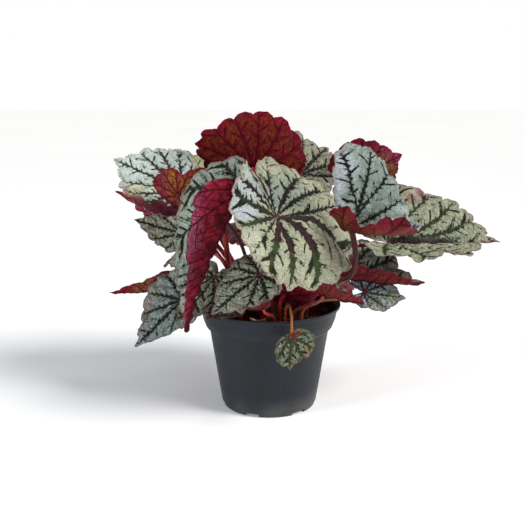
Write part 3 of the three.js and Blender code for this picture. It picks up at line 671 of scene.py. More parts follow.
def blade_points(leaf, angle, radius, share, height):
    """Points of a blade given by angle and distance from the stalk, raised by height from its middle."""
    u, v = radius * np.sin(angle), radius * np.cos(angle)
    right = u >= 0
    starts = [
        np.radians(leaf["fold"][k] + leaf["lobe"][k] * smooth(-v / leaf["back"][k])) for k in (0, 1)
    ]
    start = np.where(right, starts[1], starts[0])
    curl = np.radians(sided(leaf["curl"], right))
    across, rise, tilt = bent_line(np.abs(u), start, curl, sided(leaf["wide"], right))
    lift = height + leaf["wave"] * share ** RIPPLE_POWER * np.sin(leaf["waves"] * angle)
    meeting = lift * np.tan((starts[0] + starts[1]) / 2)
    shift = np.where(meeting > 0, np.hypot(u, meeting) - np.abs(u), np.where(np.abs(u) < 1e-6, meeting, 0.0))
    x = np.where(right, 1.0, -1.0) * (across + np.cos(start) * shift - np.sin(tilt) * lift)
    z = rise + np.sin(start) * shift + np.cos(tilt) * lift
    ahead = v >= 0
    full = np.where(ahead, float(leaf["length"]), float(max(leaf["back"])))
    bend = np.radians(np.where(ahead, float(leaf["droop"]), float(leaf["rear"])))
    rib_across, rib_rise, rib_tilt = bent_line(np.abs(v), np.zeros_like(v), bend, full)
    y = np.where(ahead, 1.0, -1.0) * (rib_across - np.sin(rib_tilt) * z)
    up = rib_rise + np.cos(rib_tilt) * z
    place = np.stack([x, y, up], axis=-1)
    return np.array(leaf["at"], float) + place @ np.array(blade_axes(leaf))


def vein_angles(leaf, share):
    """Each main vein's angle at points with these shares of the way to the margin: a row for each vein."""
    rows = []
    for vein in leaf["veins"]:
        if isinstance(vein, tuple):
            rows.append(np.interp(share, VEIN_KNOTS, np.radians(vein)))
        else:
            rows.append(math.radians(vein) * (1.0 - leaf["sweep"] * (share - 0.5)))
    return np.array(rows)


def vein_fields(leaf, angle, radius, share, outline):
    """For points of a blade: the vein's number, whole on a main vein, the distance between main veins,
    and the distance from the margin."""
    veins = vein_angles(leaf, share)
    last = len(veins) - 1
    number = np.zeros_like(angle)
    gap = np.zeros_like(angle)
    for k in range(last):
        step = veins[k + 1] - veins[k]
        inside = (angle >= veins[k]) & (angle < veins[k + 1])
        if k == 0:
            inside |= angle < veins[0]
        if k == last - 1:
            inside |= angle >= veins[last]
        number = np.where(inside, k + (angle - veins[k]) / step, number)
        gap = np.where(inside, radius * step, gap)
    turn = 1e-3
    slope = (outline_radius(leaf, angle + turn) - outline_radius(leaf, angle - turn)) / (2 * turn)
    edge = outline * (1.0 - share) * outline / np.hypot(outline, slope)
    if leaf["gap"] < CLOSED_GAP:
        edge = np.minimum(edge, radius * (math.radians(leaf["gap"]) - np.abs(angle)))
    return number, gap, np.maximum(edge, 0.0)


def nearest_vein(leaf, key, number):
    """The leaf's value under this key for the main vein nearest to each point."""
    count = len(leaf["veins"])
    values = leaf[key] if isinstance(leaf[key], tuple) else [leaf[key]] * count
    return np.array(values, float)[np.clip(np.round(number).astype(int), 0, count - 1)]


def band_width(leaf, number, share, scale):
    """Half width of the dark band along the nearest main vein, which narrows and ends towards the margin."""
    swell = leaf["neck"] + (1.0 - leaf["neck"]) * smooth(share / NECK_END)
    left = smooth((nearest_vein(leaf, "vein_ends", number) - share) / BAND_FADE)
    taper = (1.0 - BAND_NARROWING * share ** BAND_POWER) * left
    return leaf["band"] * scale * nearest_vein(leaf, "wide_veins", number) * swell * taper


def vein_relief(leaf, number, gap, radius, edge):
    """Height of the face: drawn in along the veins and raised between them."""
    whole = np.round(number)
    near = np.abs(number - whole) * gap
    branch = (radius - SIDE_SLANT * near) / leaf["branch"] + np.where(number > whole, 0.5, 0.0)
    apart = np.abs(branch - np.round(branch)) * leaf["branch"] * SIDE_SHARE
    main = np.exp(-((near / MAIN_FURROW) ** 2))
    side = np.exp(-((apart / SIDE_FURROW) ** 2)) * (1.0 - main)
    height = PANEL_RISE - main - SIDE_DEPTH * side
    return smooth(edge / RELIEF_INSET) * smooth(radius / RELIEF_START) * height


def tint_fields(tints, u, v):
    """Colour and strength of the soft patches on a face or an underside, which are the leaf's own colour or
    painted highlight and shade.
    """
    colours = np.zeros((len(u), 3))
    total = np.full(len(u), 1e-6)
    strength = np.zeros(len(u))
    for at_u, at_v, reach, text, amount in tints:
        weight = np.exp(-((u - at_u) ** 2 + (v - at_v) ** 2) / reach ** 2)
        colours += weight[:, None] * np.array(colour(text)[:3])
        total += weight
        steep = (weight - COVER_EDGE) * COVER_STEEPNESS if amount > 1.0 else weight * SOFT_STEEPNESS
        strength = np.maximum(strength, amount * smooth(steep))
    return colours / total[:, None], strength


def rim_noise(chance, teeth):
    """Uneven steps along the margin, from -1 to 1."""
    knots = int(round(RIM_KNOTS * teeth[-1])) + 1
    draws = [chance.uniform(-1.0, 1.0) for _ in range(knots)]
    return np.interp(RIM_KNOTS * teeth, np.arange(knots), draws)


def detail_scale(extent):
    """How wide veins and their jags are on a blade of this extent."""
    return min(LARGEST_DETAIL, (extent / DETAIL_EXTENT) ** 0.5)


def blade_sheet(rows, columns):
    """Quads and triangles of one side of a blade, whose vertices are its stalk's end and then rows of
    points across it, and the vertices round its border."""
    width = columns + 1
    ring, col = np.meshgrid(np.arange(rows - 1), np.arange(columns), indexing="ij")
    here = 1 + ring * width + col
    quads = np.stack([here, here + 1, here + width + 1, here + width], axis=-1).reshape(-1, 4)
    first = 1 + np.arange(columns)
    tris = np.stack([np.zeros(columns, int), first + 1, first], axis=-1)
    left = 1 + np.arange(rows) * width
    rim = left[-1] + np.arange(1, columns)
    border = np.concatenate([[0], left, rim, left[::-1] + columns, [0]])
    return quads, tris, border


def blade_grid(leaf, chance):
    """Count of rows and columns of a blade's points, its extent, and for each point, the stalk's end first:
    angle, radius, share of the way to the margin, smooth outline, count of half teeth, and crimp."""
    large = leaf["teeth"] > LARGE_TEETH
    columns = leaf["teeth"] * (LARGE_TOOTH_COLUMNS if large else TOOTH_COLUMNS)
    table_angles, table_teeth = margin_table(leaf)
    teeth = np.linspace(0.0, 2.0 * leaf["teeth"], columns + 1)
    spokes = np.interp(teeth, table_teeth, table_angles)
    if columns % 2 == 0:
        spokes[columns // 2] = 0.0
    smooth_outline = outline_radius(leaf, spokes)
    extent = float(np.max(smooth_outline))
    rows = max(FEWEST_ROWS, int(round(extent / (RING_STEP if large else SMALL_RING_STEP))))
    shares = (np.arange(1, rows + 1) / rows) ** RING_POWER
    scallop = 2.0 * np.abs(np.sin(math.pi * teeth / 2)) ** SCALLOP_POWER - 1.0
    fine = FINE_TEETH * np.abs(np.sin(math.pi * teeth * FINE_PITCH + chance.uniform(0, 3)))
    jag, crimp = (rim_noise(chance, teeth) for _ in range(2))
    share, angle = np.meshgrid(shares, spokes, indexing="ij")
    radius = share * (1.0 + CRENATION * share ** TOOTH_POWER * (scallop + fine)) * smooth_outline
    radius = radius + RIM_JAG * min(1.0, extent / RELIEF_EXTENT) * jag * share ** JAG_POWER
    stalk_end = (0, 0, 0, 1, 0, 0)
    grids = np.broadcast_arrays(angle, radius, share, smooth_outline, teeth, crimp)
    return rows, columns, extent, [np.append(first, grid) for first, grid in zip(stalk_end, grids)]


def make_blade(name, leaf, materials):
    """A thin closed blade with veins drawn in, puckered panels and a scalloped, ragged margin."""
    chance = random.Random(leaf["seed"])
    rows, columns, extent, grid = blade_grid(leaf, chance)
    angle, radius, share, outline, tooth, crimp = grid
    u, v = radius * np.sin(angle), radius * np.cos(angle)
    number, gap, edge = vein_fields(leaf, angle, radius, share, outline)
    pucker = sum(random_field(leaf["seed"] + shift, size)(u, v) * height for shift, size, height in PUCKERS)
    ruffle = RUFFLE * share ** RUFFLE_POWER * np.sin(math.pi * tooth + chance.uniform(0, 6))
    ruffle = ruffle + RIM_CRIMP * crimp * share ** CRIMP_POWER
    relief = vein_relief(leaf, number, gap, radius, edge) + pucker * smooth(radius / PUCKER_START) + ruffle
    relief *= min(1.0, extent / RELIEF_EXTENT)
    for centre, spread, start, lift in leaf["rolls"]:
        relief = relief + lift * smooth((share - start) / (1.0 - start)) * hump(angle, centre, spread)
    half = (RIM_BLADE + (BLADE - RIM_BLADE) * smooth(edge / THICK_INSET)) / 2
    points = [blade_points(leaf, angle, radius, share, relief + side * half) for side in (1, -1)]

    count = len(angle)
    pattern = np.stack([u, v, np.full(count, leaf["seed"] * PATTERN_SHIFT)], -1) / PATTERN_UNIT
    quads, tris, border = blade_sheet(rows, columns)
    edge_quads = np.stack([border[:-1], border[1:], border[1:] + count, border[:-1] + count], axis=-1)
    fields = dict(
        line=number, gap=gap, span=radius, edge=edge, share=share, wine=nearest_vein(leaf, "wine", number),
        band=band_width(leaf, number, share, detail_scale(extent)), leaf=pattern,
    )
    fields = {key: np.concatenate([value, value]) for key, value in fields.items()}
    above, below = tint_fields(leaf["tints"], u, v), tint_fields(leaf["under_tints"], u, v)
    fields["tint"], fields["tinted"] = (np.concatenate(pair) for pair in zip(above, below))
    return make_mesh(
        name, np.concatenate(points), np.concatenate([quads[:, ::-1], quads + count, edge_quads]),
        np.concatenate([tris, tris[:, ::-1] + count]), materials,
        np.repeat([0, 1, 0], [len(quads), len(quads), len(edge_quads)]),
        np.repeat([0, 1], [len(tris), len(tris)]), fields,
    )


# Materials
def operator(kind, flipped=False):
    """A method of Value that adds a Math node of this kind."""
    def apply(value, *others):
        return value.graph.math(kind, *((*others, value) if flipped else (value, *others)))

    return apply


class Value:
    """A node's output that takes part in sums: each operator adds one more node."""

    def __init__(self, graph, socket):
        self.graph = graph
        self.socket = socket

    __add__ = operator("ADD")
    __mul__ = operator("MULTIPLY")
    __sub__ = operator("SUBTRACT")
    __rsub__ = operator("SUBTRACT", flipped=True)
    __truediv__ = operator("DIVIDE")
    __pow__ = operator("POWER")
    __abs__ = operator("ABSOLUTE")
    __round__ = operator("ROUND")


class Graph:
    """A node material built by short calls: each call adds one node and gives its output."""

    def __init__(self, name):
        self.material = bpy.data.materials.new(name)
        self.material.use_nodes = True
        self.tree = self.material.node_tree
        self.shader = next(n for n in self.tree.nodes if n.type == "BSDF_PRINCIPLED")

    def add(self, kind, inputs=(), out=0, **settings):
        node = self.tree.nodes.new("ShaderNode" + kind)
        for key, value in settings.items():
            setattr(node, key, value)
        for key, value in dict(inputs).items():
            self.put(node.inputs[key], value)
        return Value(self, node.outputs[out])

    def put(self, socket, value):
        if isinstance(value, Value):
            self.tree.links.new(value.socket, socket)
        else:
            socket.default_value = colour(value) if isinstance(value, str) else value

    def attribute(self, name, out="Fac"):
        return self.add("Attribute", attribute_name=name, out=out)

    def math(self, operation, *values):
        return self.add("Math", dict(enumerate(values)), operation=operation)

    def scaled(self, place, factors):
        return self.add("VectorMath", {0: place, 1: factors}, operation="MULTIPLY")

    def ramp(self, value, low, high, start=0.0, end=1.0):
        """A smooth step from start to end while value goes from low to high, which may fall."""
        inputs = {0: value, 1: low, 2: high, 3: start, 4: end}
        return self.add("MapRange", inputs, interpolation_type="SMOOTHSTEP", clamp=True)

    def mix(self, share, first, second):
        return self.add("Mix", {0: share, 6: first, 7: second}, out=2, data_type="RGBA")

    def lay(self, skin, cover, value, low, high, amount=1.0):
        """The cover over the skin, more and more while value goes from low to high, up to the amount."""
        return self.mix(self.ramp(value, low, high, 0.0, amount), skin, cover)

    def noise(self, place, scale, detail=2.0, rough=0.55):
        return self.add("TexNoise", {"Vector": place, "Scale": scale, "Detail": detail, "Roughness": rough})

    def cells(self, place, scale, feature="F1"):
        return self.add("TexVoronoi", {"Vector": place, "Scale": scale}, feature=feature)

    def chance(self, value):
        return self.add("TexWhiteNoise", {"W": value}, noise_dimensions="1D")

    def finish(self, skin, rough, height=None, distance=0.0003, strength=0.5, **constants):
        self.put(self.shader.inputs["Base Color"], skin)
        self.put(self.shader.inputs["Roughness"], rough)
        for key, value in constants.items():
            self.shader.inputs[key.replace("_", " ")].default_value = value
        if height is not None:
            bump = self.add("Bump", {"Height": height, "Distance": distance, "Strength": strength})
            self.put(self.shader.inputs["Normal"], bump)
        return self.material


def vein_masks(g, leaf):
    """What the face and the underside share: distances from main and side veins, a random draw for each
    vein and side vein, whose odd factors only scatter the draws, and three noises round zero."""
    place = g.attribute("leaf", "Vector")
    line, gap, span, share, edge = (g.attribute(key) for key in ("line", "gap", "span", "share", "edge"))
    whole = round(line)
    off = line - whole
    near = abs(off) * gap
    side = g.math("GREATER_THAN", off, 0.0)
    branch = (span - near * SIDE_SLANT) / leaf["branch"] + side * 0.5
    turn = round(branch)
    draw = g.chance(whole * 7.31 + leaf["seed"] * 1.7)
    coarse, fine, wide = (
        g.noise(place, scale, detail) - 0.5 for scale, detail in ((3.2, 2.0), (11.0, 3.0), (0.7, 2.0))
    )
    return SimpleNamespace(
        place=place, span=span, share=share, edge=edge, off=off, near=near, draw=draw,
        start=side * 0.5 + draw * 0.4, apart=abs(branch - turn) * (leaf["branch"] * SIDE_SHARE),
        branch_draw=g.chance(whole * 3.17 + side * 0.41 + turn * 11.9 + leaf["seed"] * 2.3),
        coarse=coarse, fine=fine, wide=wide,
    )


def face_material(name, leaf, extent):
    """The upper face: silver panels between dark jagged veins, green beside them, a speckled margin."""
    g = Graph(name)
    tone = FACES[leaf["face"]]
    scale = detail_scale(extent)
    m = vein_masks(g, leaf)
    wine, tinted, tint = g.attribute("wine"), g.attribute("tinted"), g.attribute("tint", "Color")
    pebble, crumb = g.cells(m.place, 4.2), g.cells(m.place, 11.0)
    grain = g.noise(m.place, 13.0, 3.0, 0.7)

    # Where the dark bands and their green fringes are
    barb = abs(g.math("FRACT", (m.span - m.near * 0.8) / (BARB_STEP * scale) + m.start) - 0.5)
    barb = (barb * 2.0) ** 4.0 * (1.8 * scale)
    jag = m.coarse * (1.6 * scale) + m.fine * (3.0 * scale) + 0.45 - pebble
    jag = jag - barb * g.ramp(m.share, 0.12, 0.35)
    fringe = m.near + jag - g.attribute("band") * (m.draw * 0.3 + 0.85)
    main = g.ramp(fringe, 0.2, -0.2)
    side_width = g.ramp(abs(m.off), 0.0, 0.5, 0.7 * leaf["band"] * scale, 0.1 * leaf["band"])
    side_width = side_width * g.ramp(m.branch_draw, 0.9 - leaf["busy"], 1.5 - leaf["busy"], 0.0, 1.1)
    side_fringe = m.apart + jag * 0.8 - side_width * g.ramp(m.share, 0.15, 0.4)
    dark = g.math("MAXIMUM", main, g.ramp(side_fringe, 0.2, -0.2)) * g.ramp(m.edge, 0.5, 2.5, 0.2, 1.0)
    halo = g.math("MAXIMUM", g.ramp(fringe, 1.7 * scale, 0.0), g.ramp(side_fringe, 1.1 * scale, 0.0))

    # The panels between the veins
    patch = g.mix(g.ramp(m.wide, -0.25, 0.25), tone.patch, tone.shade)
    patch = g.lay(patch, tone.patch, m.coarse, 0.3, -0.3, 0.5)
    patch = g.mix(tinted, patch, tint)
    # Greener and darker in the hollows between the pebbles: the green is the leaf's own colour, the darkening
    # is painted shade.
    patch = g.lay(patch, g.mix(0.5, patch, tone.outer), pebble, 0.35, 0.75, 0.34)
    # Pale flecks on the grain: the leaf's own silver specks, made brighter as painted highlights on the
    # puckers.
    patch = g.lay(patch, g.mix(0.65, patch, "#eceee8"), grain, 0.5, 0.66, 0.62)
    patch = g.lay(patch, g.mix(0.7, patch, tone.outer), grain, 0.46, 0.34, 0.44)
    green = g.mix(g.ramp(m.wide, -0.2, 0.25), tone.shade, tone.outer)
    patch = g.mix(halo * tone.green, patch, green)

    # The veins: chocolate or green, or black where wine is below zero
    green_part = g.math("MAXIMUM", g.ramp(m.share + m.wide * 1.1, 0.45, 0.7), 1.0 - wine)
    vein = g.mix(green_part, tone.vein, tone.outer)
    vein = g.lay(vein, "#100f0c", wine, 0.0, -1.0)
    core = g.ramp(m.near, 0.1, 0.9, 0.55, 0.0) * g.ramp(wine, -1.0, 0.0, 0.3, 1.0)
    vein = g.mix(core * main, vein, tone.core)
    vein = g.lay(vein, tone.core, g.noise(m.place, 16.0), 0.45, 0.7, 0.3)
    vein = g.lay(vein, "#0d0c09", fringe, -0.8, -0.25, 0.8)

    # The whole face, with its margin, the patches that cover veins and the spot over the stalk
    skin = g.mix(dark, patch, vein)
    skin = g.lay(skin, tone.margin, m.edge + m.fine * 9.0, 2.4, 0.2, 0.8)
    skin = g.lay(skin, "#54182a", m.edge + m.coarse * 3.0, 0.4, -0.2, 0.9)
    skin = g.lay(skin, tint, tinted + m.coarse * 0.3, 1.0, 1.06)
    skin = g.lay(skin, tone.vein, m.span, 3.2, 1.2)
    skin = g.lay(skin, "#8a2f2a", m.span, 1.6, 0.7)
    rough = g.ramp(dark + grain * 0.3, 0.0, 1.0, 0.5, 0.42)
    height = grain * 0.3 - pebble * 1.1 - crumb * 0.35 - dark * 0.3
    return g.finish(skin, rough, height, 0.0014, 0.85, Specular_IOR_Level=0.17)


def under_material(name, leaf, extent):
    """The underside: red skin with a darker net of veins and warmer cells between them, whose gold is partly
    painted light shining through the blade.
    """
    g = Graph(name)
    tone = UNDERS[leaf["under"]]
    scale = detail_scale(extent)
    fit = min(1.0, extent / CELL_EXTENT) ** 1.5
    m = vein_masks(g, leaf)
    shifted = g.add("VectorMath", {0: m.place, 1: (0.31, 0.17, 0.0)}, operation="ADD")
    near, apart = m.near + m.coarse * 0.5, m.apart + m.coarse
    side = g.ramp(apart, 0.6 * scale, 0.2 * scale) * g.ramp(m.share, 0.1, 0.3)
    lines = g.math("MAXIMUM", g.ramp(near, 0.85 * scale, 0.35 * scale), side * 0.9)
    web = g.ramp(g.cells(shifted, 3.1, "DISTANCE_TO_EDGE"), 0.09, 0.02, 0.0, 0.75)
    fine_web = g.ramp(g.cells(shifted, 7.0, "DISTANCE_TO_EDGE"), 0.09, 0.02, 0.0, 0.35)
    # The warm gold in the cells between veins is partly the underside's own colour and partly painted light
    # shining through the blade.
    warm = g.ramp(near, 0.5 * fit, 4.0 * fit) * g.ramp(apart, 0.3 * fit, 2.2 * fit)
    warm = warm * g.ramp(m.wide, -0.3, 0.2, 0.35, 1.0) * g.ramp(m.edge, 1.5 * fit, 6.0 * fit) * tone.gold
    skin = g.mix(warm, tone.skin, tone.cell)
    skin = g.lay(skin, tone.margin, m.fine, -0.15, 0.3, 0.25)
    skin = g.lay(skin, tone.margin, m.edge + m.wide * 8.0, 7.0, 0.0, 0.7)
    skin = g.mix(g.attribute("tinted"), skin, g.attribute("tint", "Color"))
    for mask in (fine_web, web, lines):
        skin = g.mix(mask, skin, tone.net)
    height = lines + web * 0.5 + fine_web * 0.4 + g.noise(m.place, 26.0) * 0.3
    rough = g.ramp(g.noise(m.place, 9.0), 0.3, 0.7, 0.42, 0.55)
    return g.finish(skin, rough, height, 0.0006, 0.7, Specular_IOR_Level=0.2, Specular_Tint=colour("#f4b8b4"))


def stalk_material(name, seed, base, tip, speck):
    """A fleshy stalk: two reds along its length, pale specks and fine streaks."""
    g = Graph(name)
    place = g.attribute("leaf", "Vector")
    streak = g.noise(g.scaled(place, (14.0, 14.0, 2.0)), 1.0, 3.0, 0.5)
    spots = g.cells(place, 8.0)
    cloud = g.noise(place, 1.2 + 0.01 * seed)
    skin = g.mix(g.ramp(g.attribute("share") + cloud * 0.6, 0.3, 1.3), base, tip)
    skin = g.lay(skin, "#5e1a20", streak, 0.5, 0.75, 0.5)
    skin = g.lay(skin, speck, spots, 0.28, 0.1, 0.6)
    rough = g.ramp(streak, 0.3, 0.8, 0.34, 0.5)
    return g.finish(
        skin, rough, streak + spots * 0.6, 0.0004, 0.5, Sheen_Weight=0.08, Specular_IOR_Level=0.3,
        Subsurface_Weight=0.08, Subsurface_Scale=0.002,
    )


def pot_material():
    """Matt blue-grey moulded plastic, lightly scuffed, with dust towards the foot."""
    g = Graph("pot_plastic_look")
    place = g.add("TexCoord", out="Object")
    cloud = g.noise(place, 22.0, 4.0)
    rings = g.noise(g.scaled(place, (1.0, 1.0, 14.0)), 40.0, 3.0)
    scratch = g.noise(g.scaled(place, (1.0, 1.0, 0.12)), 420.0)
    height = g.add("SeparateXYZ", {0: place}, out=2)
    skin = g.mix(g.ramp(cloud, 0.3, 0.75), "#0f1419", "#171d26")
    skin = g.lay(skin, "#4c5259", scratch, 0.66, 0.78, 0.25)
    dust = g.ramp(height, 0.02, 0.0) * g.ramp(cloud, 0.35, 0.65, 0.2, 1.0)
    skin = g.mix(dust * 0.3, skin, "#77746c")
    bump = g.noise(place, 900.0) * 0.35 + rings * 0.5
    return g.finish(skin, g.ramp(cloud, 0.3, 0.7, 0.42, 0.56), bump, 0.0003, 0.35, Specular_IOR_Level=0.32)


def soil_material():
    """Dark damp peat; crumbs and fibres go from black-brown to reddish brown by their own shade."""
    g = Graph("potting_soil_look")
    place, shade = g.attribute("leaf", "Vector"), g.attribute("share")
    cloud, grain = g.noise(place, 3.0, 4.0), g.noise(place, 28.0, 3.0)
    skin = g.mix(g.ramp(cloud, 0.35, 0.65), "#2c1d14", "#4a3121")
    skin = g.lay(skin, "#6a4630", grain, 0.5, 0.75, 0.6)
    skin = g.lay(skin, "#8a5840", shade, 0.35, 0.9, 0.85)
    skin = g.lay(skin, "#8a6a48", shade, 0.88, 0.95, 0.35)
    rough = g.ramp(grain, 0.3, 0.7, 0.75, 0.95)
    return g.finish(skin, rough, grain + cloud, 0.0012, 0.9, Specular_IOR_Level=0.25)


def dry_material():
    """A dead leaf: tan to brown, darker veins and blotches."""
    g = Graph("dry_leaf_look")
    place, line = g.attribute("leaf", "Vector"), g.attribute("line")
    near = abs(line - round(line)) * g.attribute("gap")
    cloud, grain = g.noise(place, 2.2, 4.0), g.noise(place, 18.0, 3.0)
    web = g.cells(place, 6.0, "DISTANCE_TO_EDGE")
    skin = g.mix(g.ramp(cloud, 0.35, 0.65), "#b08b60", "#7d5434")
    skin = g.lay(skin, "#4b2a1c", g.noise(place, 5.0), 0.55, 0.7, 0.75)
    skin = g.lay(skin, "#5c3826", near, 0.7, 0.2, 0.7)
    skin = g.lay(skin, "#5c3826", web, 0.08, 0.02, 0.4)
    skin = g.lay(skin, "#cdb08a", grain, 0.5, 0.8, 0.4)
    rough = g.ramp(grain, 0.3, 0.7, 0.6, 0.8)
    return g.finish(skin, rough, grain + web * 2.0, 0.0006, 0.7, Specular_IOR_Level=0.3)


# Stalks
def stalk_line(leaf):
    """Points along a stalk, from its foot in the soil to the blade."""
    _, along, up = blade_axes(leaf)
    lean = math.radians(leaf["lean"])
    away = -math.sin(lean) * up - math.cos(lean) * along
    back = (leaf["seat"] + CAD_BLADE / 2 + leaf["stalk"] * abs(math.cos(lean))) / math.sin(lean)
    end = np.array(leaf["at"], float) + away * back
    foot = np.array([*leaf["base"], HOLE_FLOOR], float)
    mouth = np.array([*leaf["base"], SOIL_CROWN + 1.0], float)
    span = np.linalg.norm(end - mouth)
    first = mouth + np.array([0, 0, leaf["rise"] * span])
    second = end + away * leaf["reach"] * span
    t = np.linspace(0.0, 1.0, STALK_SAMPLES)[:, None]
    curve = (1 - t) ** 3 * mouth + 3 * (1 - t) ** 2 * t * first + 3 * (1 - t) * t ** 2 * second + t ** 3 * end
    touch = end - away * (leaf["seat"] + CAD_BLADE / 2 - BLADE / 2 + 0.3)
    return np.concatenate([[foot], [foot * 0.5 + mouth * 0.5], curve, [touch]])


def tube(points, radii, sides):
    """Vertices, quads and triangles of a closed tube round a line, with the frame carried along it."""
    steps = np.gradient(points, axis=0)
    steps /= np.linalg.norm(steps, axis=1)[:, None]
    normal = np.cross(steps[0], FIRST_SIDE)
    normal /= np.linalg.norm(normal)
    angles = np.linspace(0, 2 * math.pi, sides, endpoint=False)[:, None]
    verts = []
    for point, step, radius in zip(points, steps, radii):
        normal = normal - step * np.dot(normal, step)
        normal /= np.linalg.norm(normal)
        verts.append(point + radius * (np.cos(angles) * normal + np.sin(angles) * np.cross(step, normal)))
    count = len(points)
    start = count * sides
    caps = [fan(start, 0, sides), turned(fan(start + 1, start - sides, sides))]
    return np.concatenate(verts + [points[:1], points[-1:]]), ring_quads(count, sides), np.concatenate(caps)


def hairs(points, radii, count, chance):
    """Short hairs standing out of a tube: three-sided spikes."""
    verts, tris = [], []
    steps = np.gradient(points, axis=0)
    for i in range(count):
        at = chance.uniform(2.5, len(points) - 2.0)
        k = int(at)
        centre = points[k] + (points[k + 1] - points[k]) * (at - k)
        step = steps[k] / np.linalg.norm(steps[k])
        spin = np.array([chance.gauss(0, 1) for _ in range(3)])
        out = spin - step * np.dot(spin, step)
        out /= np.linalg.norm(out)
        size = chance.uniform(*HAIR_LENGTHS)
        root = centre + out * radii[k] * 0.9
        tip = root + out * size + step * chance.uniform(*HAIR_LEANS) * size
        side = np.cross(out, step)
        for turn in HAIR_CORNERS:
            verts.append(root + HAIR_RADIUS * (math.cos(turn) * side + math.sin(turn) * step))
        verts.append(tip)
        tris.append(4 * i + np.array([(0, 1, 3), (1, 2, 3), (2, 0, 3), (0, 2, 1)]))
    return np.array(verts), np.zeros((0, 4), int), np.concatenate(tris)


def make_stalk(name, leaf, material, seed):
    """A stalk that swells unevenly and widens at its foot and its blade, with short hairs."""
    line = stalk_line(leaf)
    t = np.linspace(0, 1, len(line))
    swell = random_field(seed, 0.35, 5)(t * 3.0, t * 0)
    radii = 1.0 + STALK_TAPER * (1 - t) ** 3 - STALK_TAPER * t + STALK_FLARE * t ** 12 + STALK_SWELL * swell
    radii = leaf["stalk"] * radii
    radii[-1] *= STALK_END
    length = float(np.sum(np.linalg.norm(np.diff(line, axis=0), axis=1)))
    spikes = hairs(line, radii, int(length * HAIRS_PER_MM), random.Random(seed))
    verts, quads, tris = join([tube(line, radii, STALK_SIDES), spikes])
    share = np.concatenate([np.repeat(t, STALK_SIDES), [0.0, 1.0], np.full(len(spikes[0]), HAIR_SHADE)])
    fields = dict(share=share, leaf=verts / PATTERN_UNIT)
    return make_mesh(name, verts, quads, tris, [material], fields=fields)


# Pot
def rounded(profile):
    """A profile with each corner cut by a short arc."""
    points = [np.array(p, float) for p in profile]
    out = [points[0]]
    for before, corner, after in zip(points, points[1:], points[2:]):
        first, second = before - corner, after - corner
        cut = min(CORNER_RADIUS, 0.45 * np.linalg.norm(first), 0.45 * np.linalg.norm(second))
        start = corner + first / np.linalg.norm(first) * cut
        end = corner + second / np.linalg.norm(second) * cut
        for s in np.arange(CORNER_STEPS + 1) / CORNER_STEPS:
            out.append((1 - s) ** 2 * start + 2 * (1 - s) * s * corner + s ** 2 * end)
    return out + [points[-1]]


def pot_profile():
    """The pot's section from the middle of its underside round the rim to the middle of its floor."""
    foot_inner = BASE_RADIUS - FOOT_WIDTH
    outline = [
        (0, 0), (PAD_RADIUS, 0), (PAD_RADIUS, FOOT_RECESS), (foot_inner, FOOT_RECESS), (foot_inner, 0),
        (BASE_RADIUS - FOOT_TAPER, 0), (BASE_RADIUS, FOOT_HEIGHT),
        (BASE_RADIUS + FOOT_LEDGE, FOOT_HEIGHT + 0.2), (STEP_RADIUS, STEP_FLOOR), (BAND_RADIUS, STEP_TOP),
        (SLOPE_RADIUS, SLOPE_HEIGHT), (NECK_RADIUS, NECK_HEIGHT), (RIM_RADIUS, LIP_FLOOR),
        (RIM_RADIUS, POT_HEIGHT),
        *((radius - WALL, height) for height, radius in reversed(INSIDE)), (0, FLOOR_TOP),
    ]
    profile = rounded(outline)
    tall = []
    for a, b in zip(profile, profile[1:]):
        pieces = max(1, int(np.linalg.norm(b - a) / PROFILE_STEP))
        tall += [a + (b - a) * i / pieces for i in range(pieces)]
    return np.array(tall + [profile[-1]])


def turned_pot(material):
    """The pot turned from its section, with two mould seams on its outside."""
    profile = pot_profile()
    radius, height = profile[1:-1].T
    azimuths = np.linspace(-180, 180, POT_SIDES, endpoint=False)
    beside = [seam + d for seam in SEAMS for d in SEAM_STEPS]
    azimuths = np.radians(np.unique(np.round(np.concatenate([azimuths, beside]), 3)))
    rows, sides = len(radius), len(azimuths)
    ring, turn = np.meshgrid(radius, azimuths, indexing="ij")
    wall = (radius >= BASE_RADIUS - 0.9) & (height > SEAM_FLOOR) & (height < SEAM_TOP)
    outside = wall & (radius > np.interp(height, *OUTSIDE) - 0.8)
    bump = np.zeros_like(ring)
    for seam in SEAMS:
        distance = np.abs(np.angle(np.exp(1j * (turn - math.radians(seam))))) * ring
        bump += SEAM_HEIGHT * np.exp(-((distance / SEAM_WIDTH) ** 2))
    ring = ring + bump * outside[:, None]
    up = np.broadcast_to(height[:, None], ring.shape)
    verts = np.stack([ring * np.cos(turn), ring * np.sin(turn), up], -1).reshape(-1, 3)
    verts = np.concatenate([verts, [[0, 0, profile[0][1]], [0, 0, profile[-1][1]]]])
    count = rows * sides
    caps = np.concatenate([fan(count, 0, sides), turned(fan(count + 1, count - sides, sides))])
    return make_mesh("pot_shell", verts, ring_quads(rows, sides), caps, [material])


def on_ring(radius, angle, height):
    """A place in metres at this distance and angle from the pot's middle."""
    return radius * math.cos(angle) * MM, radius * math.sin(angle) * MM, height * MM


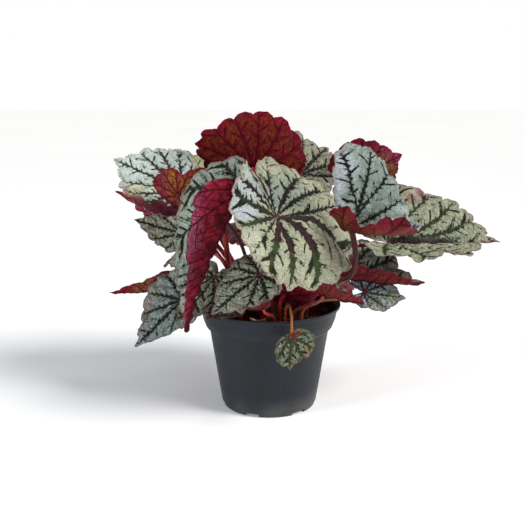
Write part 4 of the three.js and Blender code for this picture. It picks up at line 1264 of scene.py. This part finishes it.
def make_pot(material):
    """The pot with its drain holes and the notches in its foot ring cut out."""
    pot = turned_pot(material)
    cutters = []
    for i in range(DRAIN_COUNT):
        angle = (i + 0.5) * 2 * math.pi / DRAIN_COUNT + math.radians(FIRST_NOTCH)
        bpy.ops.mesh.primitive_cylinder_add(
            vertices=DRAIN_SIDES, radius=DRAIN_RADIUS * MM, depth=4 * FLOOR_MIDDLE * MM,
            location=on_ring(DRAIN_RING, angle, FLOOR_MIDDLE),
        )
        cutters.append(bpy.context.object)
        angle = i * 2 * math.pi / DRAIN_COUNT + math.radians(FIRST_NOTCH)
        bpy.ops.mesh.primitive_cube_add(size=1, location=on_ring(NOTCH_RING, angle, 0.0))
        box = bpy.context.object
        box.scale = (NOTCH_DEPTH * MM, NOTCH_WIDTH * MM, 2 * FOOT_RECESS * MM)
        box.rotation_euler = (0, 0, angle)
        cutters.append(box)
    bpy.ops.object.select_all(action="DESELECT")
    for cutter in cutters:
        cutter.select_set(True)
    bpy.context.view_layer.objects.active = cutters[0]
    bpy.ops.object.join()
    cutter = bpy.context.object
    cut = pot.modifiers.new("cut", "BOOLEAN")
    cut.operation, cut.solver, cut.object = "DIFFERENCE", "EXACT", cutter
    graph = bpy.context.evaluated_depsgraph_get()
    mesh = bpy.data.meshes.new_from_object(pot.evaluated_get(graph))
    pot.modifiers.clear()
    pot.data = mesh
    bpy.data.objects.remove(cutter)
    mesh.shade_smooth()
    mesh.set_sharp_from_angle(angle=math.radians(POT_SHARP_ANGLE))
    mesh.materials.clear()
    mesh.materials.append(material)
    return pot


# Soil
def inside_radius(height):
    return float(np.interp(height, *zip(*INSIDE))) - WALL - SOIL_GAP


def lump_template():
    """Twelve corners of an icosahedron and its faces, turned outwards."""
    ratio = (1 + math.sqrt(5)) / 2
    corners = [c for a in (-1, 1) for b in (-ratio, ratio) for c in ((0, a, b), (a, b, 0), (b, 0, a))]
    corners = np.array(corners, float) / math.hypot(1, ratio)
    apart = np.linalg.norm(corners[:, None] - corners[None], axis=2)
    linked = (apart > 0.1) & (apart < 1.2)
    faces = []
    for i, j, k in combinations(range(12), 3):
        if linked[i, j] and linked[j, k] and linked[i, k]:
            outward = np.dot(np.cross(corners[j] - corners[i], corners[k] - corners[i]), corners[i])
            faces.append((i, j, k) if outward > 0 else (i, k, j))
    return corners, np.array(faces)


LUMP_CORNERS, LUMP_FACES = lump_template()


def crumb_mesh(centre, size, chance):
    """A small uneven lump."""
    stretch = np.array([chance.uniform(0.6, 1.3), chance.uniform(0.6, 1.3), chance.uniform(0.45, 0.9)])
    wobble = np.array([chance.uniform(0.75, 1.2) for _ in range(12)])[:, None]
    turn = chance.uniform(0, math.pi)
    spin = np.array([[math.cos(turn), -math.sin(turn), 0], [math.sin(turn), math.cos(turn), 0], [0, 0, 1]])
    return centre + size * (LUMP_CORNERS * wobble * stretch) @ spin.T, np.zeros((0, 4), int), LUMP_FACES


def soil_bed(top, edge):
    """The soil's rough top, its side along the pot's wall and its flat underside."""
    rows, sides = BED_ROWS, BED_SIDES
    turns = np.linspace(0, 2 * math.pi, sides, endpoint=False)
    r, a = np.meshgrid(edge * np.arange(1, rows + 1) / rows, turns, indexing="ij")
    x, y = (r * np.cos(a)).ravel(), (r * np.sin(a)).ravel()
    verts = [[[0, 0, top(0.0, 0.0)]], np.stack([x, y, top(x, y)], -1)]
    for height in (BAND_FLOOR - 2, SOIL_FLOOR):
        ring = inside_radius(height)
        verts.append(np.stack([ring * np.cos(turns), ring * np.sin(turns), np.full(sides, height)], -1))
    verts = np.concatenate(verts + [[[0, 0, SOIL_FLOOR]]])
    last = len(verts) - 1
    caps = [turned(fan(0, 1, sides)), fan(last, last - sides, sides)]
    return verts, turned(ring_quads(rows + 2, sides, 1)), np.concatenate(caps)


def fibre_line(top, edge, chance):
    """Points along a bent fibre that lies on the soil or stands up from it a little."""
    distance, turn = edge * math.sqrt(chance.random()) * FIBRE_SPREAD, chance.uniform(0, 2 * math.pi)
    length, heading = chance.uniform(*FIBRE_LENGTHS), chance.uniform(0, 2 * math.pi)
    bend, rise = chance.uniform(*FIBRE_BENDS), chance.uniform(*FIBRE_RISES)
    limit = edge - FIBRE_INSET
    x, y = distance * math.cos(turn), distance * math.sin(turn)
    line = []
    for s in np.arange(FIBRE_STEPS + 1) / FIBRE_STEPS:
        far = math.hypot(x, y)
        if far > limit:
            x, y = x * limit / far, y * limit / far
        line.append((x, y, float(top(x, y)) + rise * math.sin(math.pi * s) + FIBRE_LIFT))
        heading += bend / 3
        step = length / FIBRE_STEPS
        x, y = x + step * math.cos(heading), y + step * math.sin(heading)
    return np.array(line)


def make_soil(material):
    """Peat: a rough bed with crumbs, bark pieces and fibres on it."""
    chance = random.Random(SOIL_SEED)
    coarse, middle = random_field(SOIL_SEED + 1, 17.0), random_field(SOIL_SEED + 2, 6.0)
    fine = random_field(SOIL_SEED + 3, 2.4, 9)
    edge = inside_radius(SOIL_EDGE)

    def top(x, y):
        r = np.hypot(x, y)
        crown = SOIL_CROWN - BED_DROP + (SOIL_EDGE - SOIL_CROWN) * (r / edge) ** 2
        rough = sum(height * field(x, y) for height, field in zip(BED_LUMPS, (coarse, middle, fine)))
        return crown + rough * smooth((edge - r) / 4 + 0.3)

    parts, shades = [soil_bed(top, edge)], [0.0]
    for _ in range(CRUMB_COUNT):
        distance, turn = edge * math.sqrt(chance.random()) * CRUMB_SPREAD, chance.uniform(0, 2 * math.pi)
        x, y = distance * math.cos(turn), distance * math.sin(turn)
        size = chance.uniform(0.35, 1.0) ** 2 * CRUMB_GROWTH + CRUMB_SMALLEST
        crumb = crumb_mesh(np.array([x, y, float(top(x, y)) + CRUMB_LIFT * size]), size, chance)
        if distance + size <= edge:
            parts.append(crumb)
            shades.append(chance.choice(CRUMB_SHADES))
    for _ in range(FIBRE_COUNT):
        line = fibre_line(top, edge, chance)
        if np.min(np.linalg.norm(np.diff(line, axis=0), axis=1)) >= FIBRE_SHORTEST_STEP:
            parts.append(tube(line, chance.uniform(*FIBRE_RADII) * FIBRE_TAPER, FIBRE_SIDES))
            shades.append(chance.choice(FIBRE_SHADES))
    verts, quads, tris = join(parts)
    share = np.repeat(shades, [len(part[0]) for part in parts])
    fields = dict(share=share, leaf=verts / PATTERN_UNIT)
    return make_mesh("soil_bed", verts, quads, tris, [material], fields=fields)


# Pieces
def place_piece(piece, node):
    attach(piece, "root")
    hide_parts(node)


for name, leaf in LEAVES.items():
    extent = max(leaf["length"], *leaf["wide"])
    skins = [face_material("face_" + name, leaf, extent), under_material("under_" + name, leaf, extent)]
    place_piece(make_blade("blade_" + name, leaf, skins), "leaf_" + name)
    skin = stalk_material("stalk_" + name, leaf["seed"], *leaf["stalk_tones"])
    stalk = make_stalk("petiole_" + name, leaf, skin, leaf["seed"] + STALK_SEED_SHIFT)
    place_piece(stalk, "stalk_" + name)

dry_skin = dry_material()
place_piece(make_blade("dry_blade", DRY_LEAF, [dry_skin, dry_skin]), "dried_leaf")
place_piece(make_pot(pot_material()), "pot")
place_piece(make_soil(soil_material()), "soil")


# Camera at the photograph's angle
CAMERA_PLACE = (-6.1, -654.0, 265.0)
CAMERA_PITCH = 12.3
FOCAL_PIXELS = 800.0
FRAME_PIXELS = 524.0
SENSOR = 36.0

camera_data = bpy.data.cameras.new("camera")
camera_data.sensor_fit = "HORIZONTAL"
camera_data.sensor_width = SENSOR
camera_data.lens = FOCAL_PIXELS * SENSOR / FRAME_PIXELS
camera_data.clip_start, camera_data.clip_end = 0.01, 100.0
camera = bpy.data.objects.new("camera", camera_data)
camera.location = Vector(CAMERA_PLACE) * MM
camera.rotation_euler = (math.radians(90.0 - CAMERA_PITCH), 0.0, 0.0)
bpy.context.scene.collection.objects.link(camera)
bpy.context.scene.camera = camera


# Studio
def add_light(name, kind, place, aim, energy, tint, **settings):
    data = bpy.data.lights.new(name, kind)
    data.energy, data.color = energy, tint
    for key, value in settings.items():
        setattr(data, key, value)
    light = bpy.data.objects.new(name, data)
    light.location = place
    light.rotation_euler = (Vector(aim) - Vector(place)).to_track_quat("-Z", "Y").to_euler()
    bpy.context.scene.collection.objects.link(light)


PLANT_MIDDLE = (0.0, 0.0, 0.15)
POT_MIDDLE = (0.0, 0.0, 0.05)
DAYLIGHT = (0.78, 0.89, 1.0)
SOFT_DISK = dict(shape="DISK", size=0.5)
WHITE = (1.0, 1.0, 1.0, 1.0)
WORLD_LIGHT = 0.27
FLOOR_GLOW = 0.12

add_light("key", "SUN", (1.0, -0.5, 1.05), PLANT_MIDDLE, 3.4, (1.0, 0.99, 0.98), angle=math.radians(26))
add_light("sky", "AREA", (-1.3, -0.75, 0.55), PLANT_MIDDLE, 12.0, DAYLIGHT, **SOFT_DISK)
add_light("side", "AREA", (1.3, 0.35, 0.14), POT_MIDDLE, 3.0, DAYLIGHT, **SOFT_DISK)

# The world is white to the camera and dimmer as a light
world = bpy.data.worlds.new("studio")
bpy.context.scene.world = world
world.use_nodes = True
nodes, links = world.node_tree.nodes, world.node_tree.links
dim, bright = nodes["Background"], nodes.new("ShaderNodeBackground")
for background, strength in ((dim, WORLD_LIGHT), (bright, 1.0)):
    background.inputs["Color"].default_value = WHITE
    background.inputs["Strength"].default_value = strength
path = nodes.new("ShaderNodeLightPath")
choose = nodes.new("ShaderNodeMixShader")
links.new(path.outputs["Is Camera Ray"], choose.inputs[0])
links.new(dim.outputs[0], choose.inputs[1])
links.new(bright.outputs[0], choose.inputs[2])
links.new(choose.outputs[0], nodes["World Output"].inputs["Surface"])

FLOOR_HALF = 9000.0
FLOOR_DROP = -0.2
corners = [(x * FLOOR_HALF, y * FLOOR_HALF, FLOOR_DROP) for x, y in ((-1, -1), (1, -1), (1, 1), (-1, 1))]
floor = make_mesh("floor", corners, [(0, 1, 2, 3)], [], [])
g = Graph("floor_look")
cloud = g.noise(g.add("TexCoord", out="Object"), 1.5)
floor.data.materials.append(g.finish(
    g.mix(g.ramp(cloud, 0.3, 0.7), "#f8f8f8", "#f5f5f5"), 0.9, Specular_IOR_Level=0.1, Emission_Color=WHITE,
    Emission_Strength=FLOOR_GLOW,
))

bpy.context.scene.view_settings.view_transform = "Standard"
bpy.context.scene.view_settings.look = "None"
